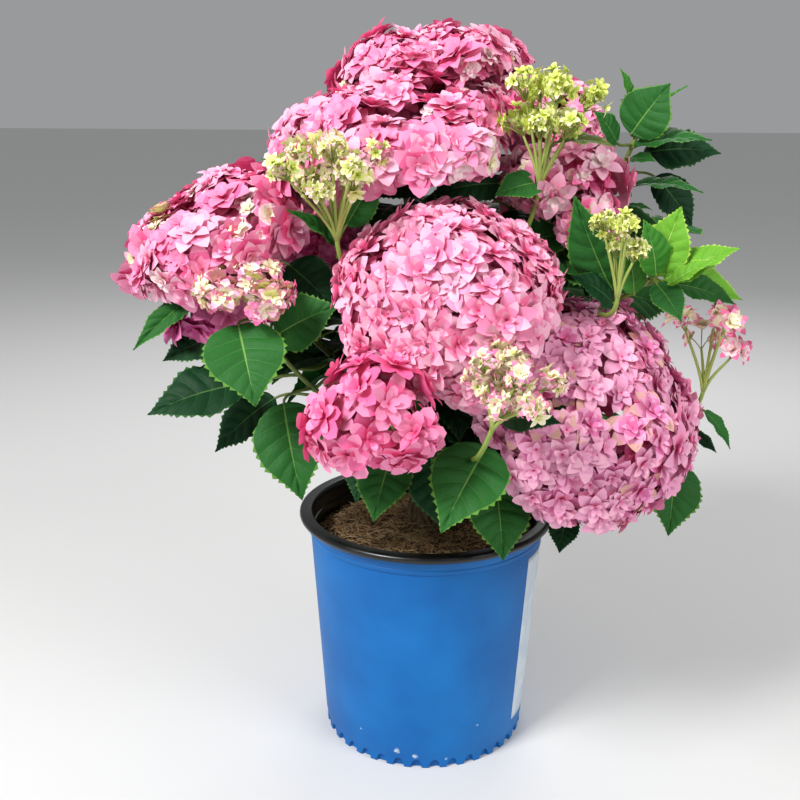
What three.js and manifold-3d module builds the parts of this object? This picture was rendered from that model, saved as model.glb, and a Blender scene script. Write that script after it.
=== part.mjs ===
// A hydrangea shrub in full flower, grown in a two-gallon nursery pot.
// Millimetres, +Z up. The origin is the centre of the pot's flat underside, +X is to the right
// and +Y to the back of the plant.
// Each cane rises from a woody stool at the surface of the growing mix. A leafy stem carries on from
// its tip, and a mophead of star-shaped florets, or a cluster of unopened buds, closes the stem.
import * as THREE from "three";
import { mergeVertices } from "three/addons/utils/BufferGeometryUtils.js";
import Module from "manifold-3d";

// Clearance between neighbouring solids.
const GAP = 0.3;

// The pot: a tapering shell with a black rolled rim pushed over its edge.
const POT_HEIGHT = 225;
const RIM_RADIUS = 122;
const RIM_ROLL = 7;
const FOOT_RADIUS = 98;
const WALL_TOP_RADIUS = 112.5;
const WALL = 2.4;
const FLOOR = 3;
const BAND_DROP = 21;
const BAND_STEP = 1.2;
const FOOT_RING = { height: 10, thickness: 5.4, chamfer: 0.8, slant: 4 };
const NOTCH = { count: 36, width: 9.5, height: 8, shoulder: 4, depth: 3.2 };
const LINER = { thickness: 1.8, drop: 32, ledge: 2, ledgeDrop: 3 };
const POT_SIDES = NOTCH.count;

// The growing mix and the woody stool in it.
const MIX_EDGE_DROP = 30;
const MIX_TOP_DROP = 26;
const MIX_CROWN_RADIUS = 70;
const STOOL = {
  centre: [12, 30],
  flareRadius: 34,
  waist: { radius: 28, height: 9 },
  topRadius: 27,
  height: 20,
  sides: 12,
  caneRing: 20,
  innerRing: 7.5,
};

// Stems, as radii where they start and end.
const CANE = { foot: 4.6, tip: 3.7, sides: 6, steps: 4 };
const STEM = { foot: 3.5, tip: 2.8, sides: 5, steps: 4 };
const STALK = { foot: 2.7, tip: 2.3, sides: 5, steps: 2 };
const SIDE_STEM = { foot: 2.4, tip: 2.0, sides: 5, steps: 6 };
const SIDE_STALK = { foot: 2.0, tip: 1.8, sides: 5, steps: 2 };
// How far along its path a cane gives way to the leafy stem, and that to the flower stalk.
const STEM_START = 0.34;
const STALK_START = 0.87;
// The bare foot of a side stem, how far above it or above the cane the first pair of leaves stands,
// and how far up the leafy part the last pair stands under a flower head or without one.
const LEAFLESS = 0.27;
const FIRST_LEAVES = 0.03;
const LAST_LEAVES = { flowering: 0.82, leafy: 0.96 };
// How straight a path leaves its foot and nears its tip.
const PATH = { rise: 0.36, approach: 0.32 };

// A leaf, with its stalk, widths and thickness as parts of the blade's length.
const LEAF = { stalk: 0.28, keel: 0.035, stalkRadius: 1.3, rise: 30, roll: 48, bendAtFoot: 0.35 };
const LEAF_OUTLINE = [
  { along: 0.0, half: 0.03 },
  { along: 0.32, half: 0.33 },
  { along: 0.68, half: 0.23 },
];
// How leaves differ: the bearing in degrees, the length and the droop, and what the top pair of a
// stem lacks of the lowest one's length and droop.
const LEAF_SPREAD = { bearing: 30, length: 0.2, droop: 0.3 };
const LEAF_TAPER = { length: 0.3, droop: 0.25 };
// Where a leaf has no room, how far it swings aside and how much smaller it stays.
const LEAF_TRIES = [
  [0, 1],
  [20, 1],
  [-20, 1],
  [36, 0.85],
  [-36, 0.85],
  [0, 0.7],
];

// A floret: a star with a ridge along each petal, on a foot that is sunk in the head's core.
const FLORET = { petals: 5, reach: 27, notch: 13, stand: 14, lift: 4, valley: 2, root: 14 };
const FLORET_SPREAD = 0.16;
const SMALL_FLORET = 0.75;
// The florets of a head stand from its top down to this many degrees from it, unless it has its own
// edge.
const HEAD_EDGE = 108;
const CORE = { sides: 9, rings: 5, underside: 0.3 };
const GOLDEN_ANGLE = 137.508;

// Unopened heads: rays fan out from the stem's tip, each with a flattened knot of buds at its end.
// Every other ray is shorter, as a part of the longest.
const RAY_RADIUS = 1.3;
const RAY_ROOT = 3;
const KNOT = { flatness: 0.8, shortRay: 0.72 };

const COLOURS = {
  shell: 0x1268b4,
  rim: 0x0c0d0f,
  mix: 0x4a3524,
  bark: 0x6f5a41,
  cane: 0x74763f,
  leaf: 0x2f6a38,
  youngLeaf: 0x7fa93c,
  petal: 0xee8fbb,
  mauvePetal: 0xdd8cba,
  creamBud: 0xe6e3a6,
  limeBud: 0xc3d158,
};

const ROUGHNESS = { pot_shell: 0.45, pot_rim: 0.25, growing_mix: 0.95, plant: 0.6 };

// Every shoot. foot: the bearing in degrees where its cane stands on the stool, in the outer ring of
// canes or with inner in the inner one, or else the shoot and the part of its path that it branches
// from. tip and lean: where its stem ends, and which way.
// pairs: pairs of leaves, turn: the bearing of the lowest pair, leaf: the longest blade, droop: how
// many degrees a blade bends down from foot to tip, face: the bearing that the blades turn their
// upper sides to, where that isn't straight out from the middle of the plant.
// head: a mophead with its radius, height and florets, or buds with the number of rays, the angle in
// degrees that they fan out to, how far they reach, and the radius of a knot.
const SHOOTS = [
  { name: "front", foot: 284, tip: [12, -110, 436], lean: [0.02, -0.74, 0.66],
    pairs: 4, turn: 276, leaf: 96, droop: 84, head: { radius: 93, height: 73, florets: 20, edge: 98 } },
  { name: "right", foot: 326, tip: [131, -68, 343], lean: [0.4, -0.62, 0.62],
    pairs: 4, turn: 258, leaf: 98, droop: 84, head: { radius: 110, height: 76, florets: 21, mauve: true } },
  { name: "left", foot: 196, tip: [-182, -22, 484], lean: [-0.42, -0.16, 0.89],
    pairs: 4, turn: 200, leaf: 108, droop: 78, face: 240, head: { radius: 99, height: 58, florets: 18 } },
  { name: "upper", foot: 210, inner: true, tip: [-28, -8, 564], lean: [-0.12, -0.26, 0.95],
    pairs: 3, turn: 60, leaf: 84, droop: 60, head: { radius: 110, height: 54, florets: 18, edge: 94 } },
  { name: "top", foot: 90, inner: true, tip: [4, 79, 620], lean: [-0.17, 0.04, 0.98],
    pairs: 3, turn: 40, leaf: 88, droop: 60, head: { radius: 97, height: 49, florets: 15, edge: 94 } },
  { name: "right_upper", foot: 8, tip: [112, -14, 515], lean: [0.36, -0.5, 0.76],
    pairs: 3, turn: 30, leaf: 84, droop: 60, head: { radius: 64, height: 54, florets: 12 } },
  { name: "right_back", foot: 330, inner: true, tip: [106, 62, 576], lean: [0.34, 0.06, 0.94],
    pairs: 3, turn: 20, leaf: 84, droop: 60, head: { radius: 66, height: 50, florets: 11 } },
  { name: "low", foot: 242, tip: [-44, -182, 368], lean: [-0.06, -0.8, 0.56],
    pairs: 4, turn: 262, leaf: 84, droop: 84, head: { radius: 52, height: 38, florets: 8 } },
  { name: "back_left", foot: 150, tip: [-118, 118, 436], lean: [-0.5, 0.45, 0.74],
    pairs: 4, turn: 120, leaf: 108, droop: 74, head: { radius: 80, height: 58, florets: 12 } },
  { name: "back_right", foot: 54, tip: [128, 138, 452], lean: [0.45, 0.5, 0.74],
    pairs: 4, turn: 70, leaf: 108, droop: 74, head: { radius: 80, height: 58, florets: 12 } },
  { name: "back", foot: 102, tip: [6, 196, 404], lean: [0.0, 0.7, 0.7],
    pairs: 4, turn: 90, leaf: 108, droop: 80, head: { radius: 80, height: 58, florets: 12 } },
  { name: "shaded", foot: ["upper", 0.56], tip: [-84, 6, 460], lean: [-0.1, -0.6, 0.78],
    pairs: 0, head: { radius: 40, height: 36, florets: 5 } },
  { name: "left_small", foot: ["left", 0.3], tip: [-150, -116, 456], lean: [0.0, -0.5, 0.86],
    pairs: 3, turn: 290, leaf: 122, droop: 104, face: 270, head: { radius: 46, height: 28, florets: 6 } },
  { name: "left_low", foot: ["left", 0.55], tip: [-190, -66, 420], lean: [-0.2, -0.75, 0.6],
    pairs: 0, head: { radius: 38, height: 28, florets: 4 } },
  { name: "right_top", foot: ["right_upper", 0.76], tip: [186, 6, 592], lean: [0.2, 0.0, 0.98],
    pairs: 4, turn: 180, leaf: 82, droop: 52, face: 270 },
  { name: "right_edge", foot: ["right_upper", 0.64], tip: [206, -50, 484], lean: [0.24, -0.1, 0.95],
    pairs: 4, turn: 350, leaf: 92, droop: 58, face: 270, young: true },
  { name: "left_buds", foot: ["upper", 0.62], tip: [-77, -106, 494], lean: [-0.04, -0.16, 0.98],
    pairs: 2, turn: 330, leaf: 66, droop: 54, head: { rays: 7, fan: 36, reach: 86, knot: 14 } },
  { name: "right_buds", foot: ["right_upper", 0.72], tip: [88, -62, 533], lean: [0.1, -0.1, 0.99],
    pairs: 1, turn: 350, leaf: 60, droop: 50, head: { rays: 6, fan: 28, reach: 94, knot: 15, lime: true } },
  { name: "edge_buds", foot: ["right_edge", 0.5], tip: [149, -104, 447], lean: [0.0, -0.1, 0.98],
    pairs: 0, head: { rays: 4, fan: 20, reach: 72, knot: 11, lime: true } },
  { name: "front_buds", foot: ["low", 0.5], tip: [42, -206, 369], lean: [0.28, -0.2, 0.94],
    pairs: 0, head: { rays: 6, fan: 42, reach: 66, knot: 11 } },
  { name: "far_buds", foot: ["right", 0.5], tip: [248, -32, 351], lean: [0.04, -0.1, 0.97],
    pairs: 1, turn: 300, leaf: 104, droop: 110, head: { rays: 5, fan: 31, reach: 84, knot: 12 } },
];

const wasm = await Module();
wasm.setup();

const UP = new THREE.Vector3(0, 0, 1);
const radians = THREE.MathUtils.degToRad;
const vector = (list) => new THREE.Vector3(...list);
const bearing = (degrees) =>
  new THREE.Vector3(Math.cos(radians(degrees)), Math.sin(radians(degrees)), 0);

// A repeatable row of numbers from 0 to 1.
function randomFrom(seed) {
  let state = seed;
  return () => {
    state = (state * 1664525 + 1013904223) % 4294967296;
    return state / 4294967296;
  };
}

// A closed solid and its box, from a closed three.js geometry.
function solidFrom(geometry) {
  geometry.deleteAttribute("normal");
  geometry.deleteAttribute("uv");
  const merged = mergeVertices(geometry, 1e-4);
  merged.computeBoundingBox();
  const solid = new wasm.Manifold(
    new wasm.Mesh({
      numProp: 3,
      vertProperties: new Float32Array(merged.attributes.position.array),
      triVerts: new Uint32Array(merged.index.array),
    }),
  );
  return { solid, box: merged.boundingBox };
}

// Joins rings of points into one closed skin. A ring of one point is a tip; the others have the same
// number of points, anticlockwise seen from the last ring. Open ends are capped.
function loft(rings) {
  const positions = rings.flat().flatMap((point) => point.toArray());
  const index = [];
  let start = 0;
  rings.forEach((ring, step) => {
    const next = rings[step + 1];
    if (next) {
      const around = Math.max(ring.length, next.length);
      const after = start + ring.length;
      for (let i = 0; i < around; i++) {
        const j = (i + 1) % around;
        if (ring.length > 1) index.push(start + i, start + j, after + (next.length > 1 ? j : 0));
        if (next.length > 1) index.push(start + (ring.length > 1 ? i : 0), after + j, after + i);
      }
    }
    for (let i = 1; i + 1 < ring.length; i++) {
      if (step === 0) index.push(start, start + i + 1, start + i);
      if (!next) index.push(start, start + i, start + i + 1);
    }
    start += ring.length;
  });
  const geometry = new THREE.BufferGeometry();
  geometry.setAttribute("position", new THREE.Float32BufferAttribute(positions, 3));
  geometry.setIndex(index);
  return geometry;
}

// A polygon of the given radius round a point, square to an axis.
function ringAround(centre, axis, radius, sides) {
  const across = new THREE.Vector3(0, 1, 0).cross(axis);
  if (across.length() < 0.2) across.set(0, 0, 1).cross(axis);
  across.normalize();
  const along = axis.clone().cross(across).normalize();
  return Array.from({ length: sides }, (_, i) => {
    const angle = (i / sides) * 2 * Math.PI;
    return centre
      .clone()
      .addScaledVector(across, radius * Math.cos(angle))
      .addScaledVector(along, radius * Math.sin(angle));
  });
}

// A tapering stem along the part of a path between two fractions of it.
function limb(path, from, to, shape, margin = 0) {
  const rings = [];
  for (let i = 0; i <= shape.steps; i++) {
    const part = i / shape.steps;
    const t = THREE.MathUtils.lerp(from, to, part);
    const radius = THREE.MathUtils.lerp(shape.foot, shape.tip, part) + margin;
    rings.push(ringAround(path.getPoint(t), path.getTangent(t), radius, shape.sides));
  }
  return solidFrom(loft(rings));
}

// One leaf: a three-sided stalk that starts inside the stem, and a blade with a keel under it. It
// bends down more and more towards its tip, and rolls its upper side towards the bearing it faces.
function leaf(root, out, face, length, droop, margin = 0) {
  const level = UP.clone().cross(out);
  const towards = level.dot(face);
  const roll = radians(LEAF.roll * towards);
  const heading = (elevation) =>
    out.clone().multiplyScalar(Math.cos(elevation)).addScaledVector(UP, Math.sin(elevation));
  const section = (point, elevation, rolled, half, keel) => {
    const upright = heading(elevation).cross(level);
    const across = level.clone().multiplyScalar(Math.cos(rolled)).addScaledVector(upright, -Math.sin(rolled));
    const normal = upright.multiplyScalar(Math.cos(rolled)).addScaledVector(level, Math.sin(rolled));
    return [
      point.clone().addScaledVector(across, half + margin).addScaledVector(normal, margin),
      point.clone().addScaledVector(across, -half - margin).addScaledVector(normal, margin),
      point.clone().addScaledVector(normal, -keel - margin),
    ];
  };
  const rise = radians(LEAF.rise);
  const bend = radians(droop);
  const point = root.clone();
  const sections = [section(point, rise, 0, LEAF.stalkRadius, LEAF.stalkRadius)];
  point.addScaledVector(heading(rise), LEAF.stalk * length);
  let done = 0;
  for (const { along, half } of LEAF_OUTLINE) {
    const elevation = rise - bend * THREE.MathUtils.lerp(LEAF.bendAtFoot, 1, along);
    point.addScaledVector(heading(elevation), (along - done) * length);
    const keel = along > 0 ? LEAF.keel * length : LEAF.stalkRadius;
    sections.push(section(point, elevation, roll, Math.max(half * length, LEAF.stalkRadius), keel));
    done = along;
  }
  point.addScaledVector(heading(rise - bend), (1 - done) * length + margin);
  return solidFrom(loft([...sections, [point]]));
}

// One floret: a star of pointed petals, each with a ridge, that narrows to a root in the core.
function floret(foot, normal, size, spin, margin = 0) {
  const points = 2 * FLORET.petals;
  const centre = foot.clone().addScaledVector(normal, FLORET.stand * size);
  const valley = centre.clone().addScaledVector(normal, -FLORET.valley * size - margin);
  const tips = ringAround(centre, normal, FLORET.reach * size + margin, points);
  const notches = ringAround(valley, normal, FLORET.notch * size + margin, points);
  const rim = tips.map((tip, i) =>
    (i % 2 ? notches[i] : tip.addScaledVector(normal, FLORET.lift * size))
      .sub(centre)
      .applyAxisAngle(normal, spin)
      .add(centre),
  );
  const root = foot.clone().addScaledVector(normal, -FLORET.root);
  const middle = centre.addScaledVector(normal, margin);
  const index = [];
  for (let i = 0; i < points; i++) {
    const next = (i + 1) % points;
    const last = (i + points - 1) % points;
    index.push(points, i, next);
    if (i % 2 === 0) index.push(next, i, last, points + 1, next, last);
  }
  const geometry = new THREE.BufferGeometry().setFromPoints([...rim, middle, root]);
  geometry.setIndex(index);
  return solidFrom(geometry);
}

// A rounded core: a dome of the given radius and height with a shallow underside.
function core(centre, axis, radius, height, margin = 0) {
  const rings = [];
  for (let i = 0; i <= CORE.rings; i++) {
    const polar = Math.PI * (1 - i / CORE.rings);
    const rise = Math.cos(polar) * (polar < Math.PI / 2 ? height : height * CORE.underside);
    const middle = centre.clone().addScaledVector(axis, rise + Math.sign(rise) * margin);
    const tip = i === 0 || i === CORE.rings;
    rings.push(tip ? [middle] : ringAround(middle, axis, radius * Math.sin(polar) + margin, CORE.sides));
  }
  return solidFrom(loft(rings));
}

// The core's radius and height: what is left of the head's once the florets stand on it.
function coreSize(head) {
  const stand = FLORET.stand + FLORET.lift;
  return { radius: head.radius - stand, height: head.height - stand };
}

// A knot of buds.
function knot(centre, radius) {
  const ball = new THREE.IcosahedronGeometry(radius, 0);
  ball.scale(1, 1, KNOT.flatness);
  ball.translate(centre.x, centre.y, centre.z);
  return solidFrom(ball);
}

// What each node is made of so far. A new piece is kept only where it is clear of every other node.
const nodes = new Map();

function colourOf(shoot, node) {
  if (node.startsWith("cane_")) return COLOURS.cane;
  if (node.startsWith("leaves_")) return shoot.young ? COLOURS.youngLeaf : COLOURS.leaf;
  if (node.startsWith("buds_")) return shoot.head.lime ? COLOURS.limeBud : COLOURS.creamBud;
  return shoot.head.mauve ? COLOURS.mauvePetal : COLOURS.petal;
}

function place(name, colour, piece) {
  if (!nodes.has(name)) nodes.set(name, { colour, pieces: [] });
  nodes.get(name).pieces.push(piece);
}

function isClear(name, piece) {
  for (const [other, node] of nodes) {
    if (other === name) continue;
    for (const one of node.pieces) {
      if (one.box.intersectsBox(piece.box) && one.solid.intersect(piece.solid).volume() > 0) return false;
    }
  }
  return true;
}

// The pot. Its outer radius at a height, with the moulded band's step near the top.
const shellTop = POT_HEIGHT - RIM_ROLL - GAP;
const bandFoot = POT_HEIGHT - BAND_DROP;
const slope = (WALL_TOP_RADIUS - FOOT_RADIUS) / shellTop;
const shellRadius = (z) => FOOT_RADIUS + slope * z;
const bandRadius = (z) => shellRadius(z) + BAND_STEP;
const turned = (profile) =>
  solidFrom(
    new THREE.LatheGeometry(
      profile.map(([radius, height]) => new THREE.Vector2(radius, height)),
      POT_SIDES,
    ).rotateX(Math.PI / 2),
  );

const footInside = FOOT_RADIUS - FOOT_RING.thickness;
const slantTop = FOOT_RING.height + FOOT_RING.slant;
const plainShell = turned([
  [0, 0],
  [FOOT_RADIUS - FOOT_RING.chamfer, 0],
  [FOOT_RADIUS, FOOT_RING.chamfer],
  [shellRadius(bandFoot), bandFoot],
  [bandRadius(bandFoot + 1), bandFoot + 1],
  [bandRadius(shellTop), shellTop],
  [shellRadius(shellTop) - WALL, shellTop],
  [shellRadius(slantTop) - WALL, slantTop],
  [footInside, FOOT_RING.height],
  [footInside, FLOOR],
  [0, FLOOR],
]);

// Half-round notches in the outside of the foot, one beside the next all the way round.
const notched = { ...plainShell };
for (let i = 0; i < NOTCH.count; i++) {
  const arch = new THREE.Shape();
  arch.moveTo(-NOTCH.width / 2, -1);
  arch.lineTo(NOTCH.width / 2, -1);
  arch.lineTo(NOTCH.width / 2, NOTCH.shoulder);
  arch.lineTo(0, NOTCH.height);
  arch.lineTo(-NOTCH.width / 2, NOTCH.shoulder);
  const cutter = new THREE.ExtrudeGeometry(arch, { depth: 2 * NOTCH.depth, bevelEnabled: false, steps: 1 });
  cutter.rotateX(Math.PI / 2).translate(0, -FOOT_RADIUS + NOTCH.depth, 0);
  cutter.rotateZ(((i + 0.5) / NOTCH.count) * 2 * Math.PI);
  notched.solid = notched.solid.subtract(solidFrom(cutter).solid);
}
place("pot_shell", COLOURS.shell, notched);

const linerOuter = (z) => shellRadius(z) - WALL - GAP;
const linerInner = (z) => linerOuter(z) - LINER.thickness;
const linerFoot = POT_HEIGHT - LINER.drop;
const rollMiddle = POT_HEIGHT - RIM_ROLL / 2;
const rollArc = [-90, -45, 0, 45, 90].map((degrees) => [
  RIM_RADIUS - RIM_ROLL / 2 + (RIM_ROLL / 2) * Math.cos(radians(degrees)),
  rollMiddle + (RIM_ROLL / 2) * Math.sin(radians(degrees)),
]);
place(
  "pot_rim",
  COLOURS.rim,
  turned([
    [linerOuter(linerFoot), linerFoot],
    [linerOuter(shellTop), shellTop + GAP],
    ...rollArc,
    [linerInner(shellTop) + LINER.ledge, POT_HEIGHT - LINER.ledgeDrop],
    [linerInner(bandFoot), bandFoot + LINER.ledge],
    [linerInner(linerFoot), linerFoot],
    [linerOuter(linerFoot), linerFoot],
  ]),
);

const mixTop = POT_HEIGHT - MIX_TOP_DROP;
const mixEdge = POT_HEIGHT - MIX_EDGE_DROP;
const mixNeck = linerInner(linerFoot) - GAP;
const mixShoulder = linerFoot - 2 * GAP;
place(
  "growing_mix",
  COLOURS.mix,
  turned([
    [0, FLOOR + GAP],
    [footInside - GAP, FLOOR + GAP],
    [footInside - GAP, FOOT_RING.height],
    [shellRadius(slantTop) - WALL - 2 * GAP, slantTop + 2 * GAP],
    [shellRadius(mixShoulder) - WALL - GAP, mixShoulder],
    [mixNeck, mixShoulder],
    [mixNeck, mixEdge],
    [MIX_CROWN_RADIUS, mixTop],
    [0, mixTop],
  ]),
);

// The stool: the short woody base that all the canes rise from, cut flat at the mix's surface.
const stoolFoot = mixTop + GAP;
const stoolTop = stoolFoot + STOOL.height;
const stoolAt = (z) => new THREE.Vector3(...STOOL.centre, z);
place(
  "stem_base",
  COLOURS.bark,
  solidFrom(
    loft([
      ringAround(stoolAt(stoolFoot), UP, STOOL.flareRadius, STOOL.sides),
      ringAround(stoolAt(stoolFoot + STOOL.waist.height), UP, STOOL.waist.radius, STOOL.sides),
      ringAround(stoolAt(stoolTop), UP, STOOL.topRadius, STOOL.sides),
    ]),
  ),
);

// The stretches of a shoot's stem, from foot to tip, with the node that each belongs to.
function stretchesOf(shoot, path) {
  const step = GAP / path.getLength();
  const end = shoot.head ? STALK_START : 1;
  const headNode = (shoot.head?.rays ? "buds_" : "bloom_") + shoot.name;
  const leafNode = "leaves_" + shoot.name;
  if (Array.isArray(shoot.foot)) {
    if (!shoot.pairs) return [{ node: headNode, from: 0, to: 1, shape: SIDE_STEM }];
    const leafy = { node: leafNode, from: 0, to: end, shape: SIDE_STEM };
    const stalk = { node: headNode, from: end + step, to: 1, shape: SIDE_STALK };
    return shoot.head ? [leafy, stalk] : [leafy];
  }
  return [
    { node: "cane_" + shoot.name, from: 0, to: STEM_START, shape: CANE },
    { node: leafNode, from: STEM_START + step, to: end, shape: STEM },
    { node: headNode, from: end + step, to: 1, shape: STALK },
  ];
}

// The middle, direction and radius of a shoot's stem at a part of its path, as its facets have them.
function stemAt({ path, stretches }, part) {
  const { from, to, shape } = stretches.find((one) => part <= one.to);
  const along = THREE.MathUtils.clamp((part - from) / (to - from), 0, 0.999);
  const step = Math.floor(along * shape.steps);
  const low = path.getPoint(THREE.MathUtils.lerp(from, to, step / shape.steps));
  const high = path.getPoint(THREE.MathUtils.lerp(from, to, (step + 1) / shape.steps));
  return {
    middle: low.clone().lerp(high, along * shape.steps - step),
    direction: high.sub(low).normalize(),
    radius: THREE.MathUtils.lerp(shape.foot, shape.tip, along),
  };
}

// The path of each shoot, from its foot on the stool or on another stem to its tip.
const paths = new Map();
for (const shoot of SHOOTS) {
  const tip = vector(shoot.tip);
  const lean = vector(shoot.lean).normalize();
  let foot;
  let leaving = UP;
  if (Array.isArray(shoot.foot)) {
    const [parent, part] = shoot.foot;
    const { middle, direction, radius } = stemAt(paths.get(parent), part);
    leaving = tip.clone().sub(middle);
    leaving.addScaledVector(direction, -leaving.dot(direction)).normalize();
    foot = middle.addScaledVector(leaving, radius + GAP);
  } else {
    const ring = shoot.inner ? STOOL.innerRing : STOOL.caneRing;
    foot = stoolAt(stoolTop + GAP).addScaledVector(bearing(shoot.foot), ring);
  }
  const span = foot.distanceTo(tip);
  const path = new THREE.CubicBezierCurve3(
    foot,
    foot.clone().addScaledVector(leaving, span * PATH.rise),
    tip.clone().addScaledVector(lean, -span * PATH.approach),
    tip,
  );
  paths.set(shoot.name, { path, lean, stretches: stretchesOf(shoot, path) });
}

// Stems and cores first, so that leaves and florets can keep clear of all of them.
for (const shoot of SHOOTS) {
  const { path, lean, stretches } = paths.get(shoot.name);
  for (const { node, from, to, shape } of stretches) {
    place(node, colourOf(shoot, node), limb(path, from, to, shape));
  }
  if (shoot.head?.florets) {
    const { radius, height } = coreSize(shoot.head);
    place("bloom_" + shoot.name, undefined, core(vector(shoot.tip), lean, radius, height));
  }
}

// Buds: the rays fan out by the golden angle, the first straight up and the last the furthest out.
for (const shoot of SHOOTS.filter((one) => one.head?.rays)) {
  const { lean } = paths.get(shoot.name);
  const { rays, fan, reach, knot: size } = shoot.head;
  const tip = vector(shoot.tip);
  const name = "buds_" + shoot.name;
  const start = tip.clone().addScaledVector(lean, -RAY_ROOT);
  const across = ringAround(new THREE.Vector3(), lean, 1, 4);
  for (let i = 0; i < rays; i++) {
    const aside = radians(fan * Math.sqrt(i / (rays - 1)));
    const angle = radians(i * GOLDEN_ANGLE);
    const way = lean.clone().multiplyScalar(Math.cos(aside));
    way.addScaledVector(across[0], Math.sin(aside) * Math.cos(angle));
    way.addScaledVector(across[1], Math.sin(aside) * Math.sin(angle));
    const long = reach * (i % 2 ? KNOT.shortRay : 1) - size;
    const end = tip.clone().addScaledVector(way, long);
    const ray = new THREE.LineCurve3(start, end);
    const shape = { foot: RAY_RADIUS, tip: RAY_RADIUS, sides: 3, steps: 1 };
    const piece = limb(ray, 0, 1, shape);
    const bud = knot(end, size);
    if (!isClear(name, knot(end, size + GAP)) || !isClear(name, limb(ray, 0, 1, shape, GAP))) continue;
    place(name, undefined, piece);
    place(name, undefined, bud);
  }
}

// Florets: spread over each core by the golden angle, from its top to a little under its edge.
SHOOTS.forEach((shoot, order) => {
  if (!shoot.head?.florets) return;
  const random = randomFrom(101 + order);
  const { lean } = paths.get(shoot.name);
  const { florets } = shoot.head;
  const { radius, height } = coreSize(shoot.head);
  const name = "bloom_" + shoot.name;
  const across = ringAround(new THREE.Vector3(), lean, 1, 4);
  const edge = Math.cos(radians(shoot.head.edge ?? HEAD_EDGE));
  for (let i = 0; i < florets; i++) {
    const rise = THREE.MathUtils.lerp(1, edge, (i + 0.5) / florets);
    const out = Math.sqrt(1 - rise * rise);
    const angle = radians(i * GOLDEN_ANGLE);
    const tall = height * (rise > 0 ? 1 : CORE.underside);
    const side = across[0].clone().multiplyScalar(Math.cos(angle));
    side.addScaledVector(across[1], Math.sin(angle));
    const foot = vector(shoot.tip).addScaledVector(side, radius * out).addScaledVector(lean, tall * rise);
    const normal = side.clone().multiplyScalar(out / radius);
    normal.addScaledVector(lean, rise / Math.max(tall, radius * 0.5));
    normal.normalize();
    const grown = 1 + FLORET_SPREAD * (random() - 0.5);
    const spin = random() * Math.PI;
    const size = [grown, grown * SMALL_FLORET].find((one) =>
      isClear(name, floret(foot, normal, one, spin, 2 * GAP)),
    );
    if (size) place(name, undefined, floret(foot, normal, size, spin));
  }
});

// Leaves: opposite pairs, each pair a quarter turn on from the one below, and shorter up the stem.
// A leaf that meets something swings aside or stays smaller, and is left out where that isn't enough.
SHOOTS.forEach((shoot, order) => {
  if (!shoot.pairs) return;
  const random = randomFrom(701 + order);
  const name = "leaves_" + shoot.name;
  const { stretches } = paths.get(shoot.name);
  const leafy = stretches.find((one) => one.node === name);
  const from = Math.max(leafy.from, LEAFLESS) + FIRST_LEAVES;
  const last = shoot.head ? LAST_LEAVES.flowering : LAST_LEAVES.leafy;
  const to = THREE.MathUtils.lerp(from, leafy.to, last);
  const face = shoot.face ? bearing(shoot.face) : vector(shoot.tip).setZ(0).normalize();
  for (let i = 0; i < shoot.pairs; i++) {
    const part = shoot.pairs > 1 ? i / (shoot.pairs - 1) : 0.5;
    const root = stemAt(paths.get(shoot.name), THREE.MathUtils.lerp(from, to, part)).middle;
    for (const half of [0, 180]) {
      const vary = (spread) => spread * (random() - 0.5);
      const towards = shoot.turn + 90 * i + half + vary(LEAF_SPREAD.bearing);
      const length = shoot.leaf * (1 - LEAF_TAPER.length * part) * (1 + vary(LEAF_SPREAD.length));
      const droop = shoot.droop * (1 - LEAF_TAPER.droop * part) * (1 + vary(LEAF_SPREAD.droop));
      const fits = LEAF_TRIES.find(([swing, scale]) =>
        isClear(name, leaf(root, bearing(towards + swing), face, length * scale, droop, 2 * GAP)),
      );
      if (!fits) continue;
      const [swing, scale] = fits;
      place(name, undefined, leaf(root, bearing(towards + swing), face, length * scale, droop));
    }
  }
});

// Fuses a node's pieces into one body.
function fused(pieces) {
  return pieces.map((piece) => piece.solid).reduce((whole, one) => whole.add(one));
}

const shrub = new THREE.Group();
shrub.name = "hydrangea_shrub";
for (const [name, { colour, pieces }] of nodes) {
  const mesh = fused(pieces).getMesh();
  const geometry = new THREE.BufferGeometry();
  geometry.setAttribute("position", new THREE.BufferAttribute(mesh.vertProperties, 3));
  geometry.setIndex(new THREE.BufferAttribute(mesh.triVerts, 1));
  geometry.computeVertexNormals();
  const roughness = ROUGHNESS[name] ?? ROUGHNESS.plant;
  const material = new THREE.MeshStandardMaterial({ color: colour, roughness, metalness: 0 });
  const solid = new THREE.Mesh(geometry, material);
  solid.name = name;
  shrub.add(solid);
}

export default shrub;
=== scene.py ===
import math

import bmesh
import bpy
import numpy as np
from mathutils import Matrix, Vector


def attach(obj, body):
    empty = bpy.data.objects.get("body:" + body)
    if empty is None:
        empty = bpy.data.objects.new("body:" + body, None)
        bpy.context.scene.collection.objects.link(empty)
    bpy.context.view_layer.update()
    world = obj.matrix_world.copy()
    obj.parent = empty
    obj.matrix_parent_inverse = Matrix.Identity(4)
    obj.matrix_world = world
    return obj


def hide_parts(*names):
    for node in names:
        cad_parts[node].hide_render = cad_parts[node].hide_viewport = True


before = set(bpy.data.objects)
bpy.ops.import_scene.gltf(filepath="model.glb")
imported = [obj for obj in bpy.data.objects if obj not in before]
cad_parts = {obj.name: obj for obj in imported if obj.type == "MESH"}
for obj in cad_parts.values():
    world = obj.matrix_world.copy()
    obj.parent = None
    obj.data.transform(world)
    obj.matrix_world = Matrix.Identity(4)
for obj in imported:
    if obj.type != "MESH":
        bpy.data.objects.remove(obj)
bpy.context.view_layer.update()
scene = bpy.context.scene


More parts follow.
